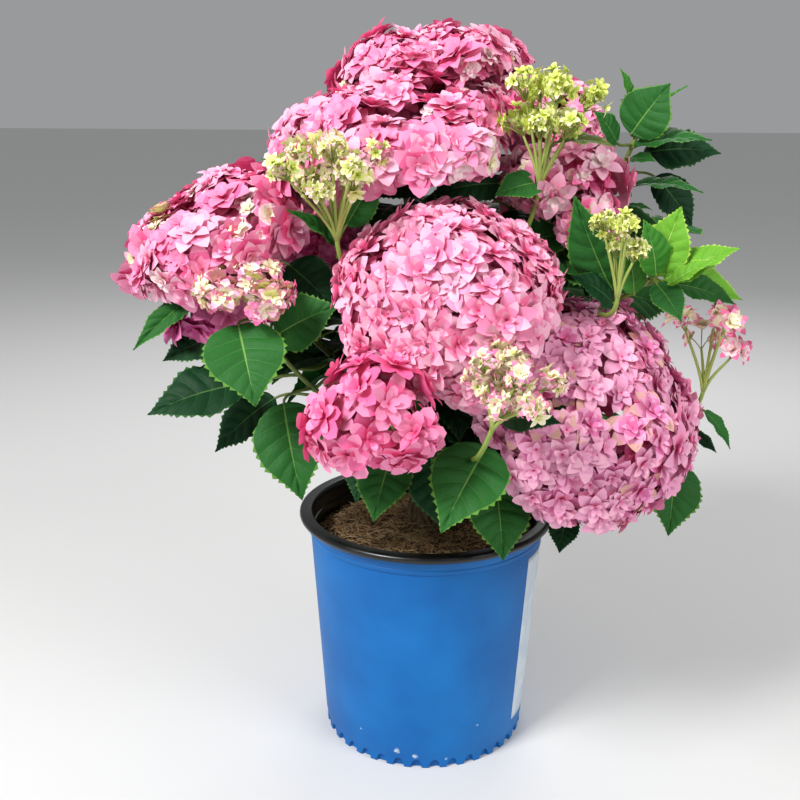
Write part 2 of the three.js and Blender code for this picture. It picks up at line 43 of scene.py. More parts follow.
# ---- The pot shell
# A tapering injection-moulded shell of blue polypropylene, 225 mm tall with its rim. A band near the
# top stands a little proud, and half-round notches all round the foot let water drain away.

MM = 0.001
POT_HEIGHT = 225
SHELL_TOP = 217.7
FOOT_RADIUS = 98
WALL_TOP_RADIUS = 112.5
WALL = 2.4
FLOOR = 3
BAND = {"foot": 204, "step": 1.2, "groove": 0.5}
NOTCH = {"count": 36, "width": 9.5, "height": 8, "depth": 3.2, "columns": 16}


def shell_radius(height):
    return FOOT_RADIUS + (WALL_TOP_RADIUS - FOOT_RADIUS) / SHELL_TOP * height


def srgb(red, green, blue):
    """A colour as the eye reads it, each part 0 to 255, as the linear numbers that a shader takes."""
    parts = [part / 255 for part in (red, green, blue)]
    return (*[((part + 0.055) / 1.055) ** 2.4 if part > 0.04 else part / 12.92 for part in parts], 1)


def add_node(tree, kind, inputs=None, **settings):
    """A node with its settings. Each input takes a value, or is linked to another node's output."""
    made = tree.nodes.new(kind)
    for key, value in settings.items():
        setattr(made, key, value)
    for socket, value in (inputs or {}).items():
        if isinstance(value, bpy.types.NodeSocket):
            tree.links.new(value, made.inputs[socket])
        else:
            made.inputs[socket].default_value = value
    return made


def noise_of(material, grain, detail=3, stretch=(1, 1, 1)):
    """A noise on the piece's own coordinates, its grain in millimetres."""
    tree = material.node_tree
    place = add_node(tree, "ShaderNodeTexCoord").outputs["Object"]
    scaled = add_node(tree, "ShaderNodeMapping", {"Vector": place, "Scale": stretch}).outputs["Vector"]
    noise = add_node(tree, "ShaderNodeTexNoise", {"Vector": scaled, "Scale": 1000 / grain, "Detail": detail})
    return noise.outputs["Fac"]


def shader_socket(material, name):
    return material.node_tree.nodes["Principled BSDF"].inputs[name]


def emboss(material, height, depth, invert=False):
    """Lays a relief, its depth in millimetres, over the relief that the material has."""
    normal = shader_socket(material, "Normal")
    inputs = {"Height": height, "Distance": depth * MM}
    if normal.is_linked:
        inputs["Normal"] = normal.links[0].from_socket
    bump = add_node(material.node_tree, "ShaderNodeBump", inputs, invert=invert)
    material.node_tree.links.new(bump.outputs["Normal"], normal)


def finish(name, colour, roughness, relief=None, specular=0.5):
    """A plain shader, with the colour and roughness on it, and a fine relief (grain, depth) on top."""
    made = bpy.data.materials.new(name)
    made.use_nodes = True
    shader_socket(made, "Base Color").default_value = colour
    shader_socket(made, "Roughness").default_value = roughness
    shader_socket(made, "Specular IOR Level").default_value = specular
    if relief:
        grain, depth = relief
        emboss(made, noise_of(made, grain), depth)
    return made


def tint_by(material, factor, stops):
    """Colours the material by a factor: stops are (position, colour). Gives back the colour."""
    ramp = add_node(material.node_tree, "ShaderNodeValToRGB", {"Fac": factor})
    for position, colour in stops[1:-1]:
        ramp.color_ramp.elements.new(position)
    for element, (position, colour) in zip(ramp.color_ramp.elements, stops):
        element.position = position
        element.color = colour
    material.node_tree.links.new(ramp.outputs["Color"], shader_socket(material, "Base Color"))
    return ramp.outputs["Color"]


def turned(profile, sides, closed=False):
    """Points and faces of a profile of (radius, height) turned round the upright axis. Where it isn't
    a closed loop it starts and ends on the axis."""
    angles = np.arange(sides) / sides * 2 * math.pi
    ring = np.stack([np.cos(angles), np.sin(angles)], 1)
    points, faces, starts = [], [], []
    for radius, height in profile:
        starts.append(len(points))
        if radius == 0:
            points.append((0, 0, height))
        else:
            points += [(radius * c, radius * s, height) for c, s in ring]
    steps = len(profile) if closed else len(profile) - 1
    for step in range(steps):
        low, high = starts[step], starts[(step + 1) % len(profile)]
        low_radius, high_radius = profile[step][0], profile[(step + 1) % len(profile)][0]
        for i in range(sides):
            j = (i + 1) % sides
            lower = (low,) if low_radius == 0 else (low + i, low + j)
            upper = (high,) if high_radius == 0 else (high + j, high + i)
            faces.append(lower + upper)
    return np.array(points, float), faces


def piece_of(name, points, faces, finishes, deal=None, crease=None):
    """A smooth mesh as a piece of the object. deal gives each face's finish, and an edge sharper than
    crease degrees stays sharp."""
    mesh = bpy.data.meshes.new(name)
    mesh.from_pydata((np.asarray(points) * MM).tolist(), [], faces)
    for one in finishes:
        mesh.materials.append(one)
    mesh.polygons.foreach_set("use_smooth", np.ones(len(faces), bool))
    if deal is not None:
        mesh.polygons.foreach_set("material_index", np.asarray(deal, np.int32))
    if crease:
        work = bmesh.new()
        work.from_mesh(mesh)
        for edge in work.edges:
            edge.smooth = edge.calc_face_angle(0) < math.radians(crease)
        work.to_mesh(mesh)
        work.free()
    mesh.update()
    made = bpy.data.objects.new(name, mesh)
    scene.collection.objects.link(made)
    return made


band_foot = BAND["foot"]
groove_radius = shell_radius(band_foot) - BAND["groove"]
band_radius = shell_radius(band_foot) + BAND["step"]
shell_profile = [
    (0, 0),
    (FOOT_RADIUS - 6, 0),
    (FOOT_RADIUS - NOTCH["depth"] - 0.6, 0),
    (FOOT_RADIUS - 0.8, 0),
    (FOOT_RADIUS - 0.3, 0.2),
    *[(FOOT_RADIUS, height) for height in np.arange(0.8, 9.7, 0.8)],
    *[(shell_radius(height), height) for height in np.linspace(14, band_foot - 3, 14)],
    (groove_radius, band_foot - 0.8),
    (groove_radius, band_foot - 0.2),
    (band_radius - 0.4, band_foot + 0.3),
    (band_radius, band_foot + 1),
    (band_radius + 0.1, band_foot + 4),
    (band_radius - 0.3, band_foot + 4.5),
    (band_radius + 0.1, band_foot + 5),
    (shell_radius(SHELL_TOP) + BAND["step"], SHELL_TOP),
    (shell_radius(SHELL_TOP) - WALL, SHELL_TOP),
    (shell_radius(14) - WALL, 14),
    (FOOT_RADIUS - 5.4, 10),
    (FOOT_RADIUS - 5.4, FLOOR),
    (0, FLOOR),
]
shell_points, shell_faces = turned(shell_profile, NOTCH["count"] * NOTCH["columns"])
radii = np.hypot(shell_points[:, 0], shell_points[:, 1])
turns = np.arctan2(shell_points[:, 1], shell_points[:, 0]) / (2 * math.pi) * NOTCH["count"]
beside = (turns - np.floor(turns) - 0.5) * 2 * math.pi * FOOT_RADIUS / NOTCH["count"]
arch = NOTCH["height"] * np.sqrt(np.clip(1 - (beside / (NOTCH["width"] / 2)) ** 2, 0, 1))
cut = np.clip((arch - shell_points[:, 2]) / 0.9 + 0.5, 0, 1) * (arch > 0)
cut *= (radii > FOOT_RADIUS - 1) & (shell_points[:, 2] < 10)
shell_points[:, :2] *= (1 - cut * NOTCH["depth"] / np.maximum(radii, 1))[:, None]

pot_blue = finish("pot_blue_plastic", srgb(6, 98, 182), 0.5, specular=0.3)
tree = pot_blue.node_tree
shade = noise_of(pot_blue, 70, 2)
# Pale rubbed patches and scratches low on the front, from handling: the middle and reach of each.
SCUFFS = [
    ((-27, -95, 17), 7), ((-10, -98, 13), 6), ((-60, -78, 30), 5), ((20, -97, 9), 4), ((48, -88, 40), 3),
]
place = add_node(tree, "ShaderNodeTexCoord").outputs["Object"]
worn = None
for middle, reach in SCUFFS:
    apart = add_node(
        tree, "ShaderNodeVectorMath", {0: place, 1: [part * MM for part in middle]}, operation="DISTANCE")
    near = add_node(tree, "ShaderNodeMapRange", {
        "Value": apart.outputs["Value"], "From Min": reach * MM, "From Max": 0}).outputs["Result"]
    worn = near if worn is None else add_node(
        tree, "ShaderNodeMath", {0: worn, 1: near}, operation="MAXIMUM").outputs["Value"]
speck = noise_of(pot_blue, 1.6, 4, (1, 1, 2.2))
rubbed = add_node(tree, "ShaderNodeMath", {0: worn, 1: speck}, operation="MULTIPLY").outputs["Value"]
edge = add_node(tree, "ShaderNodeMapRange", {"Value": rubbed, "From Min": 0.3, "From Max": 0.36})
body_colour = tint_by(pot_blue, shade, [(0.3, srgb(0, 95, 170)), (0.7, srgb(8, 114, 190))])
scuffed = add_node(tree, "ShaderNodeMix", {
    "Factor": edge.outputs["Result"], "A": body_colour, "B": srgb(196, 214, 226)}, data_type="RGBA")
tree.links.new(scuffed.outputs["Result"], shader_socket(pot_blue, "Base Color"))
emboss(pot_blue, noise_of(pot_blue, 3.5, 2), 0.05)

pot_shell = piece_of("pot_wall", shell_points, shell_faces, [pot_blue], crease=38)
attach(pot_shell, "root")
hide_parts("pot_shell")


# ---- The label strip
# A plain pale strip of self-adhesive film, stuck upright round the right-hand side of the pot's wall.
# It is bare.

LABEL = {"from": -33, "to": 12, "foot": 24, "top": 197, "stand": 0.28, "thickness": 0.2}
LABEL_COLUMNS, LABEL_ROWS = 36, 24

heights, angles = np.meshgrid(
    np.linspace(LABEL["foot"], LABEL["top"], LABEL_ROWS + 1),
    np.radians(np.linspace(LABEL["from"], LABEL["to"], LABEL_COLUMNS + 1)), indexing="ij")
radii = shell_radius(heights) + LABEL["stand"]
label_points = np.stack([radii * np.cos(angles), radii * np.sin(angles), heights], -1).reshape(-1, 3)
corners = np.arange(len(label_points)).reshape(LABEL_ROWS + 1, LABEL_COLUMNS + 1)
label_faces = np.stack(
    [corners[:-1, :-1], corners[:-1, 1:], corners[1:, 1:], corners[1:, :-1]], -1).reshape(-1, 4).tolist()
film = finish("label_film", srgb(206, 220, 232), 0.35)
tint_by(film, noise_of(film, 18, 2), [(0.35, srgb(196, 212, 226)), (0.65, srgb(216, 227, 236))])
label = piece_of("label_strip", label_points, label_faces, [film])
thick = label.modifiers.new("film thickness", "SOLIDIFY")
thick.thickness = LABEL["thickness"] * MM
thick.offset = -1
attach(label, "root")


# ---- The rim
# A black rolled rim of polypropylene, pressed over the shell's edge. Its liner reaches down the
# inside of the wall and has a small ledge near the top.

RIM_RADIUS = 122
RIM_ROLL = 7
LINER_FOOT = 193

roll = [
    (RIM_RADIUS - RIM_ROLL / 2 * (1 - math.cos(turn)), POT_HEIGHT - RIM_ROLL / 2 * (1 - math.sin(turn)))
    for turn in np.radians(range(-90, 91, 12))
]
liner_outer = shell_radius(SHELL_TOP) - WALL - 0.3
rim_profile = [
    (shell_radius(LINER_FOOT) - WALL - 0.4, LINER_FOOT),
    (shell_radius(SHELL_TOP) - WALL - 0.4, SHELL_TOP + 0.3),
    *roll,
    (liner_outer + 1.0, POT_HEIGHT - 0.6),
    (liner_outer, POT_HEIGHT - 2),
    (liner_outer - 0.6, POT_HEIGHT - 8),
    (liner_outer - 0.9, band_foot + 4),
    (liner_outer - 2.2, band_foot + 3.4),
    (liner_outer - 2.6, band_foot + 2),
    (shell_radius(LINER_FOOT) - WALL - 2.1, LINER_FOOT),
]
rim_points, rim_faces = turned(rim_profile, 180, closed=True)
rim_black = finish("rim_black_plastic", srgb(16, 17, 19), 0.26)
dull = noise_of(rim_black, 22, 4)
dulling = add_node(rim_black.node_tree, "ShaderNodeMapRange", {"Value": dull, "To Min": 0.2, "To Max": 0.42})
rim_black.node_tree.links.new(dulling.outputs["Result"], shader_socket(rim_black, "Roughness"))
tint_by(rim_black, dull, [(0.45, srgb(14, 15, 17)), (0.8, srgb(34, 34, 34))])
rim = piece_of("pot_roll", rim_points, rim_faces, [rim_black], crease=40)
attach(rim, "root")
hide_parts("pot_rim")


# ---- The growing mix
# Composted bark and coir that fills the pot to about 26 mm under its rim: a crumbly, uneven top
# covered with loose brown and straw-coloured fibres, with a chip of bark at the front right.

MIX_TOP = 198
MIX_RADIUS = 107.5
MIX_HEAP, MIX_DROP = 1.6, 5.0
WAVES = 5


def ripple(x, y, seed, lengths, heights):
    """A repeatable uneven surface: waves in several directions, one set for each length."""
    source = np.random.default_rng(seed)
    total = np.zeros_like(x)
    for length, height in zip(lengths, heights):
        for _ in range(WAVES):
            angle, phase = source.uniform(0, 2 * math.pi, 2)
            distance = x * math.cos(angle) + y * math.sin(angle)
            total += height / WAVES * np.sin(distance * 2 * math.pi / length + phase)
    return total


def mix_height(x, y):
    """The mix heaps up in the middle and drops towards the wall."""
    apart = np.hypot(x, y) / MIX_RADIUS
    waves = ripple(x, y, 5, (70, 31, 13, 6), (3.2, 2.6, 2.0, 1.4))
    return MIX_TOP + MIX_HEAP - MIX_DROP * apart**3 + waves


mix_profile = [(0, FLOOR + 0.5), (FOOT_RADIUS - 5.8, FLOOR + 0.5), (FOOT_RADIUS - 5.8, 10)]
mix_profile += [(shell_radius(height) - WALL - 0.8, height) for height in (16, 80, 140, 192)]
mix_profile += [(MIX_RADIUS, 192.4), (MIX_RADIUS, 194)]
mix_profile += [(radius, MIX_TOP) for radius in np.linspace(MIX_RADIUS - 0.5, 1.5, 54)] + [(0, MIX_TOP)]
mix_points, mix_faces = turned(mix_profile, 150)
on_top = mix_points[:, 2] == MIX_TOP
mix_points[on_top, 2] = mix_height(mix_points[on_top, 0], mix_points[on_top, 1])
mix_brown = finish("composted_bark", srgb(70, 50, 34), 0.95)
clods = noise_of(mix_brown, 5, 6)
tint_by(mix_brown, clods, [
    (0.36, srgb(70, 52, 37)), (0.5, srgb(132, 102, 74)), (0.68, srgb(176, 144, 108)),
])
emboss(mix_brown, clods, 2.2)
mix = piece_of("bark_mix", mix_points, mix_faces, [mix_brown])
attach(mix, "root")
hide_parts("growing_mix")

bed_points, bed_faces = turned([(0, 0), *[(radius, 0) for radius in np.linspace(2, 104, 50)]], 90)
bed_points = np.vstack([bed_points, [[0, 0, 0]]])
bed_points[:, 2] = mix_height(bed_points[:, 0], bed_points[:, 1]) + 0.4
STRAND_TILT = 0.35
STRAND_SIZES = (0.45, 1.35)
LITTER_INPUTS = {
    "Strands per square metre": "Float", "Strand length": "Float", "Strand radius": "Float",
    "Bend": "Float", "Lift": "Float", "Seed": "Int", "Finish": "Material",
}


def litter_tree():
    """Geometry nodes: scatters bent strands over a bed, each turned and sized at random."""
    tree = bpy.data.node_groups.new("litter", "GeometryNodeTree")
    for label, kind in {"Geometry": "Geometry", **LITTER_INPUTS}.items():
        tree.interface.new_socket(label, in_out="INPUT", socket_type="NodeSocket" + kind)
    tree.interface.new_socket("Geometry", in_out="OUTPUT", socket_type="NodeSocketGeometry")
    given = add_node(tree, "NodeGroupInput").outputs
    scatter = add_node(tree, "GeometryNodeDistributePointsOnFaces", {
        "Mesh": given["Geometry"], "Density": given["Strands per square metre"], "Seed": given["Seed"]})
    ends = []
    for share in (-0.5, 0.5):
        reach = add_node(tree, "ShaderNodeMath", {0: given["Strand length"], 1: share}, operation="MULTIPLY")
        ends.append(add_node(tree, "ShaderNodeCombineXYZ", {"X": reach.outputs["Value"]}).outputs["Vector"])
    crown = add_node(tree, "ShaderNodeCombineXYZ", {"Y": given["Bend"], "Z": given["Lift"]})
    strand = add_node(tree, "GeometryNodeCurveQuadraticBezier", {
        "Resolution": 4, "Start": ends[0], "Middle": crown.outputs["Vector"], "End": ends[1]})
    section = add_node(tree, "GeometryNodeCurvePrimitiveCircle", {
        "Resolution": 3, "Radius": given["Strand radius"]})
    skin = add_node(tree, "GeometryNodeCurveToMesh", {
        "Curve": strand.outputs["Curve"], "Profile Curve": section.outputs["Curve"], "Fill Caps": True})
    turn = add_node(tree, "FunctionNodeRandomValue", {
        "Min": (-STRAND_TILT, -STRAND_TILT, 0), "Max": (STRAND_TILT, STRAND_TILT, 6.283),
        "Seed": given["Seed"]}, data_type="FLOAT_VECTOR")
    size = add_node(tree, "FunctionNodeRandomValue", {
        2: STRAND_SIZES[0], 3: STRAND_SIZES[1], "Seed": given["Seed"]}, data_type="FLOAT")
    spread = add_node(tree, "GeometryNodeInstanceOnPoints", {
        "Points": scatter.outputs["Points"], "Instance": skin.outputs["Mesh"],
        "Rotation": turn.outputs["Value"], "Scale": size.outputs[1]})
    real = add_node(tree, "GeometryNodeRealizeInstances", {"Geometry": spread.outputs["Instances"]})
    coat = add_node(tree, "GeometryNodeSetMaterial", {
        "Geometry": real.outputs["Geometry"], "Material": given["Finish"]})
    add_node(tree, "NodeGroupOutput", {"Geometry": coat.outputs["Geometry"]})
    return tree


litter = litter_tree()
socket_of = {item.name: item.identifier for item in litter.interface.items_tree if item.in_out == "INPUT"}
# Name, strands a square metre, their length, radius, bend and lift, seed, colour and roughness.
for name, strands, length, radius, bend, lift, seed, colour, roughness in (
    ("dark", 70000, 11, 0.8, 2.2, 1.4, 11, srgb(106, 79, 55), 0.9),
    ("brown", 120000, 12, 0.55, 3.0, 1.8, 12, srgb(184, 146, 104), 0.9),
    ("straw", 90000, 13, 0.42, 3.4, 2.2, 13, srgb(218, 188, 144), 0.85),
):
    coat = finish(name + "_fibre", colour, roughness, (1.5, 0.3))
    bed = piece_of("bed", bed_points, bed_faces, [coat])
    scattering = bed.modifiers.new("litter", "NODES")
    scattering.node_group = litter
    values = (float(strands), length * MM, radius * MM, bend * MM, lift * MM, seed, coat)
    for label_text, value in zip(LITTER_INPUTS, values):
        scattering[socket_of[label_text]] = value
    bpy.context.view_layer.update()
    evaluated = bed.evaluated_get(bpy.context.evaluated_depsgraph_get())
    strands_mesh = bpy.data.meshes.new_from_object(evaluated)
    strands_mesh.name = "fibres_" + name
    fibres = bpy.data.objects.new("fibres_" + name, strands_mesh)
    scene.collection.objects.link(fibres)
    bpy.data.objects.remove(bed)
    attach(fibres, "root")

chip_points, chip_faces = turned([(0, -3.5), (3.4, -2.8), (5.6, -0.6), (5.2, 1.6), (3, 3), (0, 3.4)], 14)
chip_x, chip_y, chip_z = chip_points.T
chip_points *= 1 + ripple(chip_x * 3, chip_y * 3 + chip_z, 8, (23, 9), (0.16, 0.1))[:, None]
CHIP_PLACE = np.array([41.0, -78.0])
chip_points += (*CHIP_PLACE, mix_height(*CHIP_PLACE[:, None])[0] + 2.4)
chip_tan = finish("bark_chip", srgb(196, 146, 118), 0.85, (2, 0.5))
chip = piece_of("bark_chip", chip_points, chip_faces, [chip_tan])
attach(chip, "root")


# ---- Every shoot of the shrub
# Each cane rises from the woody base, and a leafy stem carries on from its tip to a flower head. The
# side stems leave another shoot's stem. The same table and rule gives the solids of the frame.

STOOL = {
    "centre": np.array([12.0, 30.0, 0.0]), "foot": 199.3, "top": 219.3, "flare": 34, "neck": 27,
    "cane_ring": 20, "inner_ring": 7.5,
}
STEM_START = 0.34
STALK_START = 0.87
RISE, APPROACH = 0.36, 0.32


def table(columns, rows):
    """Rows of a table by name, each by its columns. A shorter row goes without the last ones."""
    return {name: dict(zip(columns.split(), row)) for name, row in rows.items()}


# The foot is a bearing round the base, or another shoot and the part of it where this one leaves. The
# tip and its lean follow, then the pairs of leaves, the way the first one points, the length of its
# leaves, how far they droop, and the way they face.
SHOOTS = table("foot tip lean pairs turn leaf droop face", {
    "front": (284, (12, -110, 436), (0.02, -0.74, 0.66), 4, 276, 96, 84),
    "right": (326, (131, -68, 343), (0.4, -0.62, 0.62), 4, 258, 98, 84),
    "left": (196, (-182, -22, 484), (-0.42, -0.16, 0.89), 4, 200, 108, 78, 240),
    "upper": (210, (-28, -8, 564), (-0.12, -0.26, 0.95), 3, 60, 84, 60),
    "top": (90, (4, 79, 620), (-0.17, 0.04, 0.98), 3, 40, 88, 60),
    "right_upper": (8, (112, -14, 515), (0.36, -0.5, 0.76), 3, 30, 84, 60),
    "right_back": (330, (106, 62, 576), (0.34, 0.06, 0.94), 3, 20, 84, 60),
    "low": (242, (-44, -182, 368), (-0.06, -0.8, 0.56), 4, 262, 84, 84),
    "back_left": (150, (-118, 118, 436), (-0.5, 0.45, 0.74), 4, 120, 108, 74),
    "back_right": (54, (128, 138, 452), (0.45, 0.5, 0.74), 4, 70, 108, 74),
    "back": (102, (6, 196, 404), (0.0, 0.7, 0.7), 4, 90, 108, 80),
    "shaded": (("upper", 0.56), (-84, 6, 460), (-0.1, -0.6, 0.78), 0),
    "left_small": (("left", 0.3), (-150, -116, 456), (0.0, -0.5, 0.86), 3, 290, 122, 104, 270),
    "left_low": (("left", 0.55), (-190, -66, 420), (-0.2, -0.75, 0.6), 0),
    "right_top": (("right_upper", 0.76), (186, 6, 592), (0.2, 0.0, 0.98), 4, 180, 82, 52, 270),
    "right_edge": (("right_upper", 0.64), (206, -50, 484), (0.24, -0.1, 0.95), 4, 350, 92, 58, 270),
    "left_buds": (("upper", 0.62), (-77, -106, 494), (-0.04, -0.16, 0.98), 2, 330, 66, 54),
    "right_buds": (("right_upper", 0.72), (88, -62, 533), (0.1, -0.1, 0.99), 1, 350, 60, 50),
    "edge_buds": (("right_edge", 0.5), (149, -104, 447), (0.0, -0.1, 0.98), 0),
    "front_buds": (("low", 0.5), (42, -206, 369), (0.28, -0.2, 0.94), 0),
    "far_buds": (("right", 0.5), (248, -32, 351), (0.04, -0.1, 0.97), 1, 300, 104, 110),
})
INNER_CANES = {"upper", "top", "right_back"}
UP = np.array([0.0, 0.0, 1.0])


def unit(vector):
    vector = np.asarray(vector, float)
    return vector / np.maximum(np.linalg.norm(vector, axis=-1, keepdims=True), 1e-9)


def bearing(degrees):
    return np.array([math.cos(math.radians(degrees)), math.sin(math.radians(degrees)), 0.0])


def along(path, part):
    """The points of a path at parts of it from 0 to 1."""
    t = np.asarray(part, float)[..., None]
    a, b, c, d = path
    return (1 - t) ** 3 * a + 3 * t * (1 - t) ** 2 * b + 3 * t * t * (1 - t) * c + t**3 * d


def stem_radius(shoot, part):
    """How thick a shoot's stem is at parts of its path."""
    if isinstance(shoot["foot"], tuple):
        return np.interp(part, [0, STALK_START, 1], [2.4, 2.0, 1.8])
    return np.interp(part, [0, STEM_START, STEM_START + 0.01, STALK_START, 1], [4.6, 3.7, 3.5, 2.8, 2.3])


paths = {}
for name, shoot in SHOOTS.items():
    tip, lean = np.array(shoot["tip"], float), unit(shoot["lean"])
    if isinstance(shoot["foot"], tuple):
        parent, part = shoot["foot"]
        middle = along(paths[parent], part)
        onward = unit(along(paths[parent], part + 0.01) - along(paths[parent], part - 0.01))
        leaving = unit((tip - middle) - np.dot(tip - middle, onward) * onward)
        foot = middle + leaving * (stem_radius(SHOOTS[parent], part) * 0.6)
    else:
        ring = STOOL["inner_ring" if name in INNER_CANES else "cane_ring"]
        foot = STOOL["centre"] + bearing(shoot["foot"]) * ring + UP * (STOOL["top"] - 1)
        leaving = UP
    span = np.linalg.norm(tip - foot)
    paths[name] = np.array([foot, foot + leaving * span * RISE, tip - lean * span * APPROACH, tip])


# ---- The woody base and the canes
# The base is the short old stump, cut back year after year, that every cane springs from. Canes are
# last year's wood: thin tan bark that splits lengthwise, with a swollen joint at each old leaf pair.

class Bundle:
    """Parts of one kind, gathered into one mesh."""

    def __init__(self):
        self.points, self.faces, self.deal, self.count = [], [], [], 0

    def add(self, points, faces, deal=0):
        points = np.asarray(points, float)
        self.points.append(points)
        self.faces += [tuple(corner + self.count for corner in face) for face in faces]
        self.deal += list(deal) if hasattr(deal, "__len__") else [deal] * len(faces)
        self.count += len(points)

    def add_copies(self, points, faces, deal):
        """Many copies of one shape: points is copies x points x 3, deal copies x faces."""
        copies, size = points.shape[:2]
        self.points.append(points.reshape(-1, 3))
        for corners in sorted({len(face) for face in faces}):
            chosen = [i for i, face in enumerate(faces) if len(face) == corners]
            shape = np.array([faces[i] for i in chosen])
            starts = self.count + np.arange(copies)[:, None, None] * size
            self.faces += (shape[None] + starts).reshape(-1, corners).tolist()
            self.deal += deal[:, chosen].reshape(-1).tolist()
        self.count += copies * size

    def piece(self, name, finishes):
        made = piece_of(name, np.vstack(self.points), self.faces, finishes, self.deal)
        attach(made, "root")
        return made


def tube(middles, radii, sides, relief=None):
    """A round stem along points, closed at both ends. relief gives each ring point its own radius."""
    middles = np.asarray(middles, float)
    steps = len(middles)
    tangents = unit(np.gradient(middles, axis=0))
    across = unit(np.cross(tangents[0], [0.31, 0.95, 0.05]))
    points = []
    angles = np.arange(sides) / sides * 2 * math.pi
    for step in range(steps):
        across = unit(across - np.dot(across, tangents[step]) * tangents[step])
        upright = np.cross(tangents[step], across)
        swell = radii[step] * (1 if relief is None else relief[step])
        ring = np.cos(angles)[:, None] * across + np.sin(angles)[:, None] * upright
        points.append(middles[step] + ring * (np.ones(sides) * swell)[:, None])
    points = np.vstack([*points, middles[:1] - tangents[0] * radii[0] * 0.3,
                        middles[-1:] + tangents[-1] * radii[-1] * 0.6])
    faces = []
    for step in range(steps - 1):
        for i in range(sides):
            j = (i + 1) % sides
            faces.append((step * sides + i, step * sides + j, (step + 1) * sides + j, (step + 1) * sides + i))
    last = (steps - 1) * sides
    for i in range(sides):
        j = (i + 1) % sides
        faces.append((j, i, steps * sides))
        faces.append((last + i, last + j, steps * sides + 1))
    return points, faces


bark = finish("grey_brown_bark", srgb(112, 92, 66), 0.85)
fissures = noise_of(bark, 3, 5, (1, 1, 0.22))
tint_by(bark, fissures, [(0.36, srgb(66, 52, 36)), (0.52, srgb(120, 99, 70)), (0.7, srgb(160, 140, 106))])
emboss(bark, fissures, 0.7)

stump_heights = np.linspace(STOOL["foot"], STOOL["top"], 16)
down = (STOOL["top"] - stump_heights) / (STOOL["top"] - STOOL["foot"])
stump_radii = STOOL["neck"] + (STOOL["flare"] - STOOL["neck"]) * down**1.8
stump_profile = [(0, STOOL["foot"]), *zip(stump_radii, stump_heights)]
stump_profile += [(radius, STOOL["top"] + 1.2) for radius in (24, 17, 9)] + [(0, STOOL["top"] + 1.6)]
stump_points, stump_faces = turned(stump_profile, 72)
around = np.arctan2(stump_points[:, 1], stump_points[:, 0])
knuckles = 1 + 0.045 * np.cos(6 * around + 0.5) + 0.035 * np.sin(11 * around + stump_points[:, 2] * 0.12)
knuckles += 0.02 * np.sin(29 * around + stump_points[:, 2] * 0.3)
stump_points[:, :2] *= np.minimum(knuckles, 1.03)[:, None]
stump = piece_of("woody_base", stump_points + STOOL["centre"], stump_faces, [bark])
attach(stump, "root")
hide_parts("stem_base")

canes = Bundle()
CANE_STATIONS, CANE_SIDES = 40, 14
OLD_JOINTS = np.array([0.1, 0.19, 0.27])
own_shoots = [name for name, shoot in SHOOTS.items() if not isinstance(shoot["foot"], tuple)]
source = np.random.default_rng(31)
for name in own_shoots:
    parts = np.linspace(0, STEM_START + 0.02, CANE_STATIONS)
    joints = OLD_JOINTS + source.uniform(-0.02, 0.02, 3)
    swelling = 1 + 0.28 * np.exp(-(((parts[:, None] - joints) / 0.008) ** 2)).sum(1)
    radii = stem_radius(SHOOTS[name], parts) * swelling
    ridges = 1 + source.uniform(-0.07, 0.07, CANE_SIDES)[None]
    ridges = ridges + source.uniform(-0.03, 0.03, (CANE_STATIONS, CANE_SIDES))
    canes.add(*tube(along(paths[name], parts), radii, CANE_SIDES, ridges))
cane_piece = canes.piece("canes", [bark])
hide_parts(*["cane_" + name for name in own_shoots])


# ---- The leafy stems
# This year's growth: smooth round green stems, a little swollen at each pair of leaves and, where they carry
# on from a cane, browner low down. They end inside a flower head or a tuft of young leaves.

STEM_FINISHES = [
    finish("stem_green", srgb(112, 134, 62), 0.5, (4, 0.12)),
    finish("stem_ripening", srgb(124, 112, 66), 0.6, (3, 0.2)),
    finish("stem_young", srgb(142, 168, 74), 0.5, (4, 0.1)),
]
GREEN, RIPENING, YOUNG = 0, 1, 2
PALE_STEMS = {"left_buds", "right_buds", "edge_buds", "front_buds", "far_buds", "right_edge", "right_top"}
LEAFY_TO_THE_TIP = {"right_top", "right_edge"}
STEM_STATIONS, STEM_SIDES = 44, 9
# The lowest part of any stem that carries leaves, and how far from a stem's start its first pair sits.
BARE_FOOT, FIRST_PAIR = 0.27, 0.03
stems = Bundle()
leaf_parts = {}
for name, shoot in SHOOTS.items():
    start = STEM_START if name in own_shoots else 0
    parts = np.linspace(start, 1, STEM_STATIONS)
    first = max(start, BARE_FOOT) + FIRST_PAIR
    end = STALK_START if shoot["pairs"] and name not in LEAFY_TO_THE_TIP else 1
    last = first + (end - first) * (0.82 if end < 1 else 0.96)
    pair_parts = np.linspace(first, last, shoot["pairs"])
    if shoot["pairs"] == 1:
        pair_parts = np.array([(first + last) / 2])
    leaf_parts[name] = pair_parts
    swelling = 1 + 0.3 * np.exp(-(((parts[:, None] - pair_parts) / 0.012) ** 2)).sum(1)
    points, faces = tube(along(paths[name], parts), stem_radius(shoot, parts) * swelling, STEM_SIDES)
    ripe = (np.repeat(parts[:-1], STEM_SIDES) < 0.5) & (name in own_shoots)
    deal = np.where(ripe, RIPENING, YOUNG if name in PALE_STEMS else GREEN)
    stems.add(points, faces, [*deal, *[GREEN] * (2 * STEM_SIDES)])
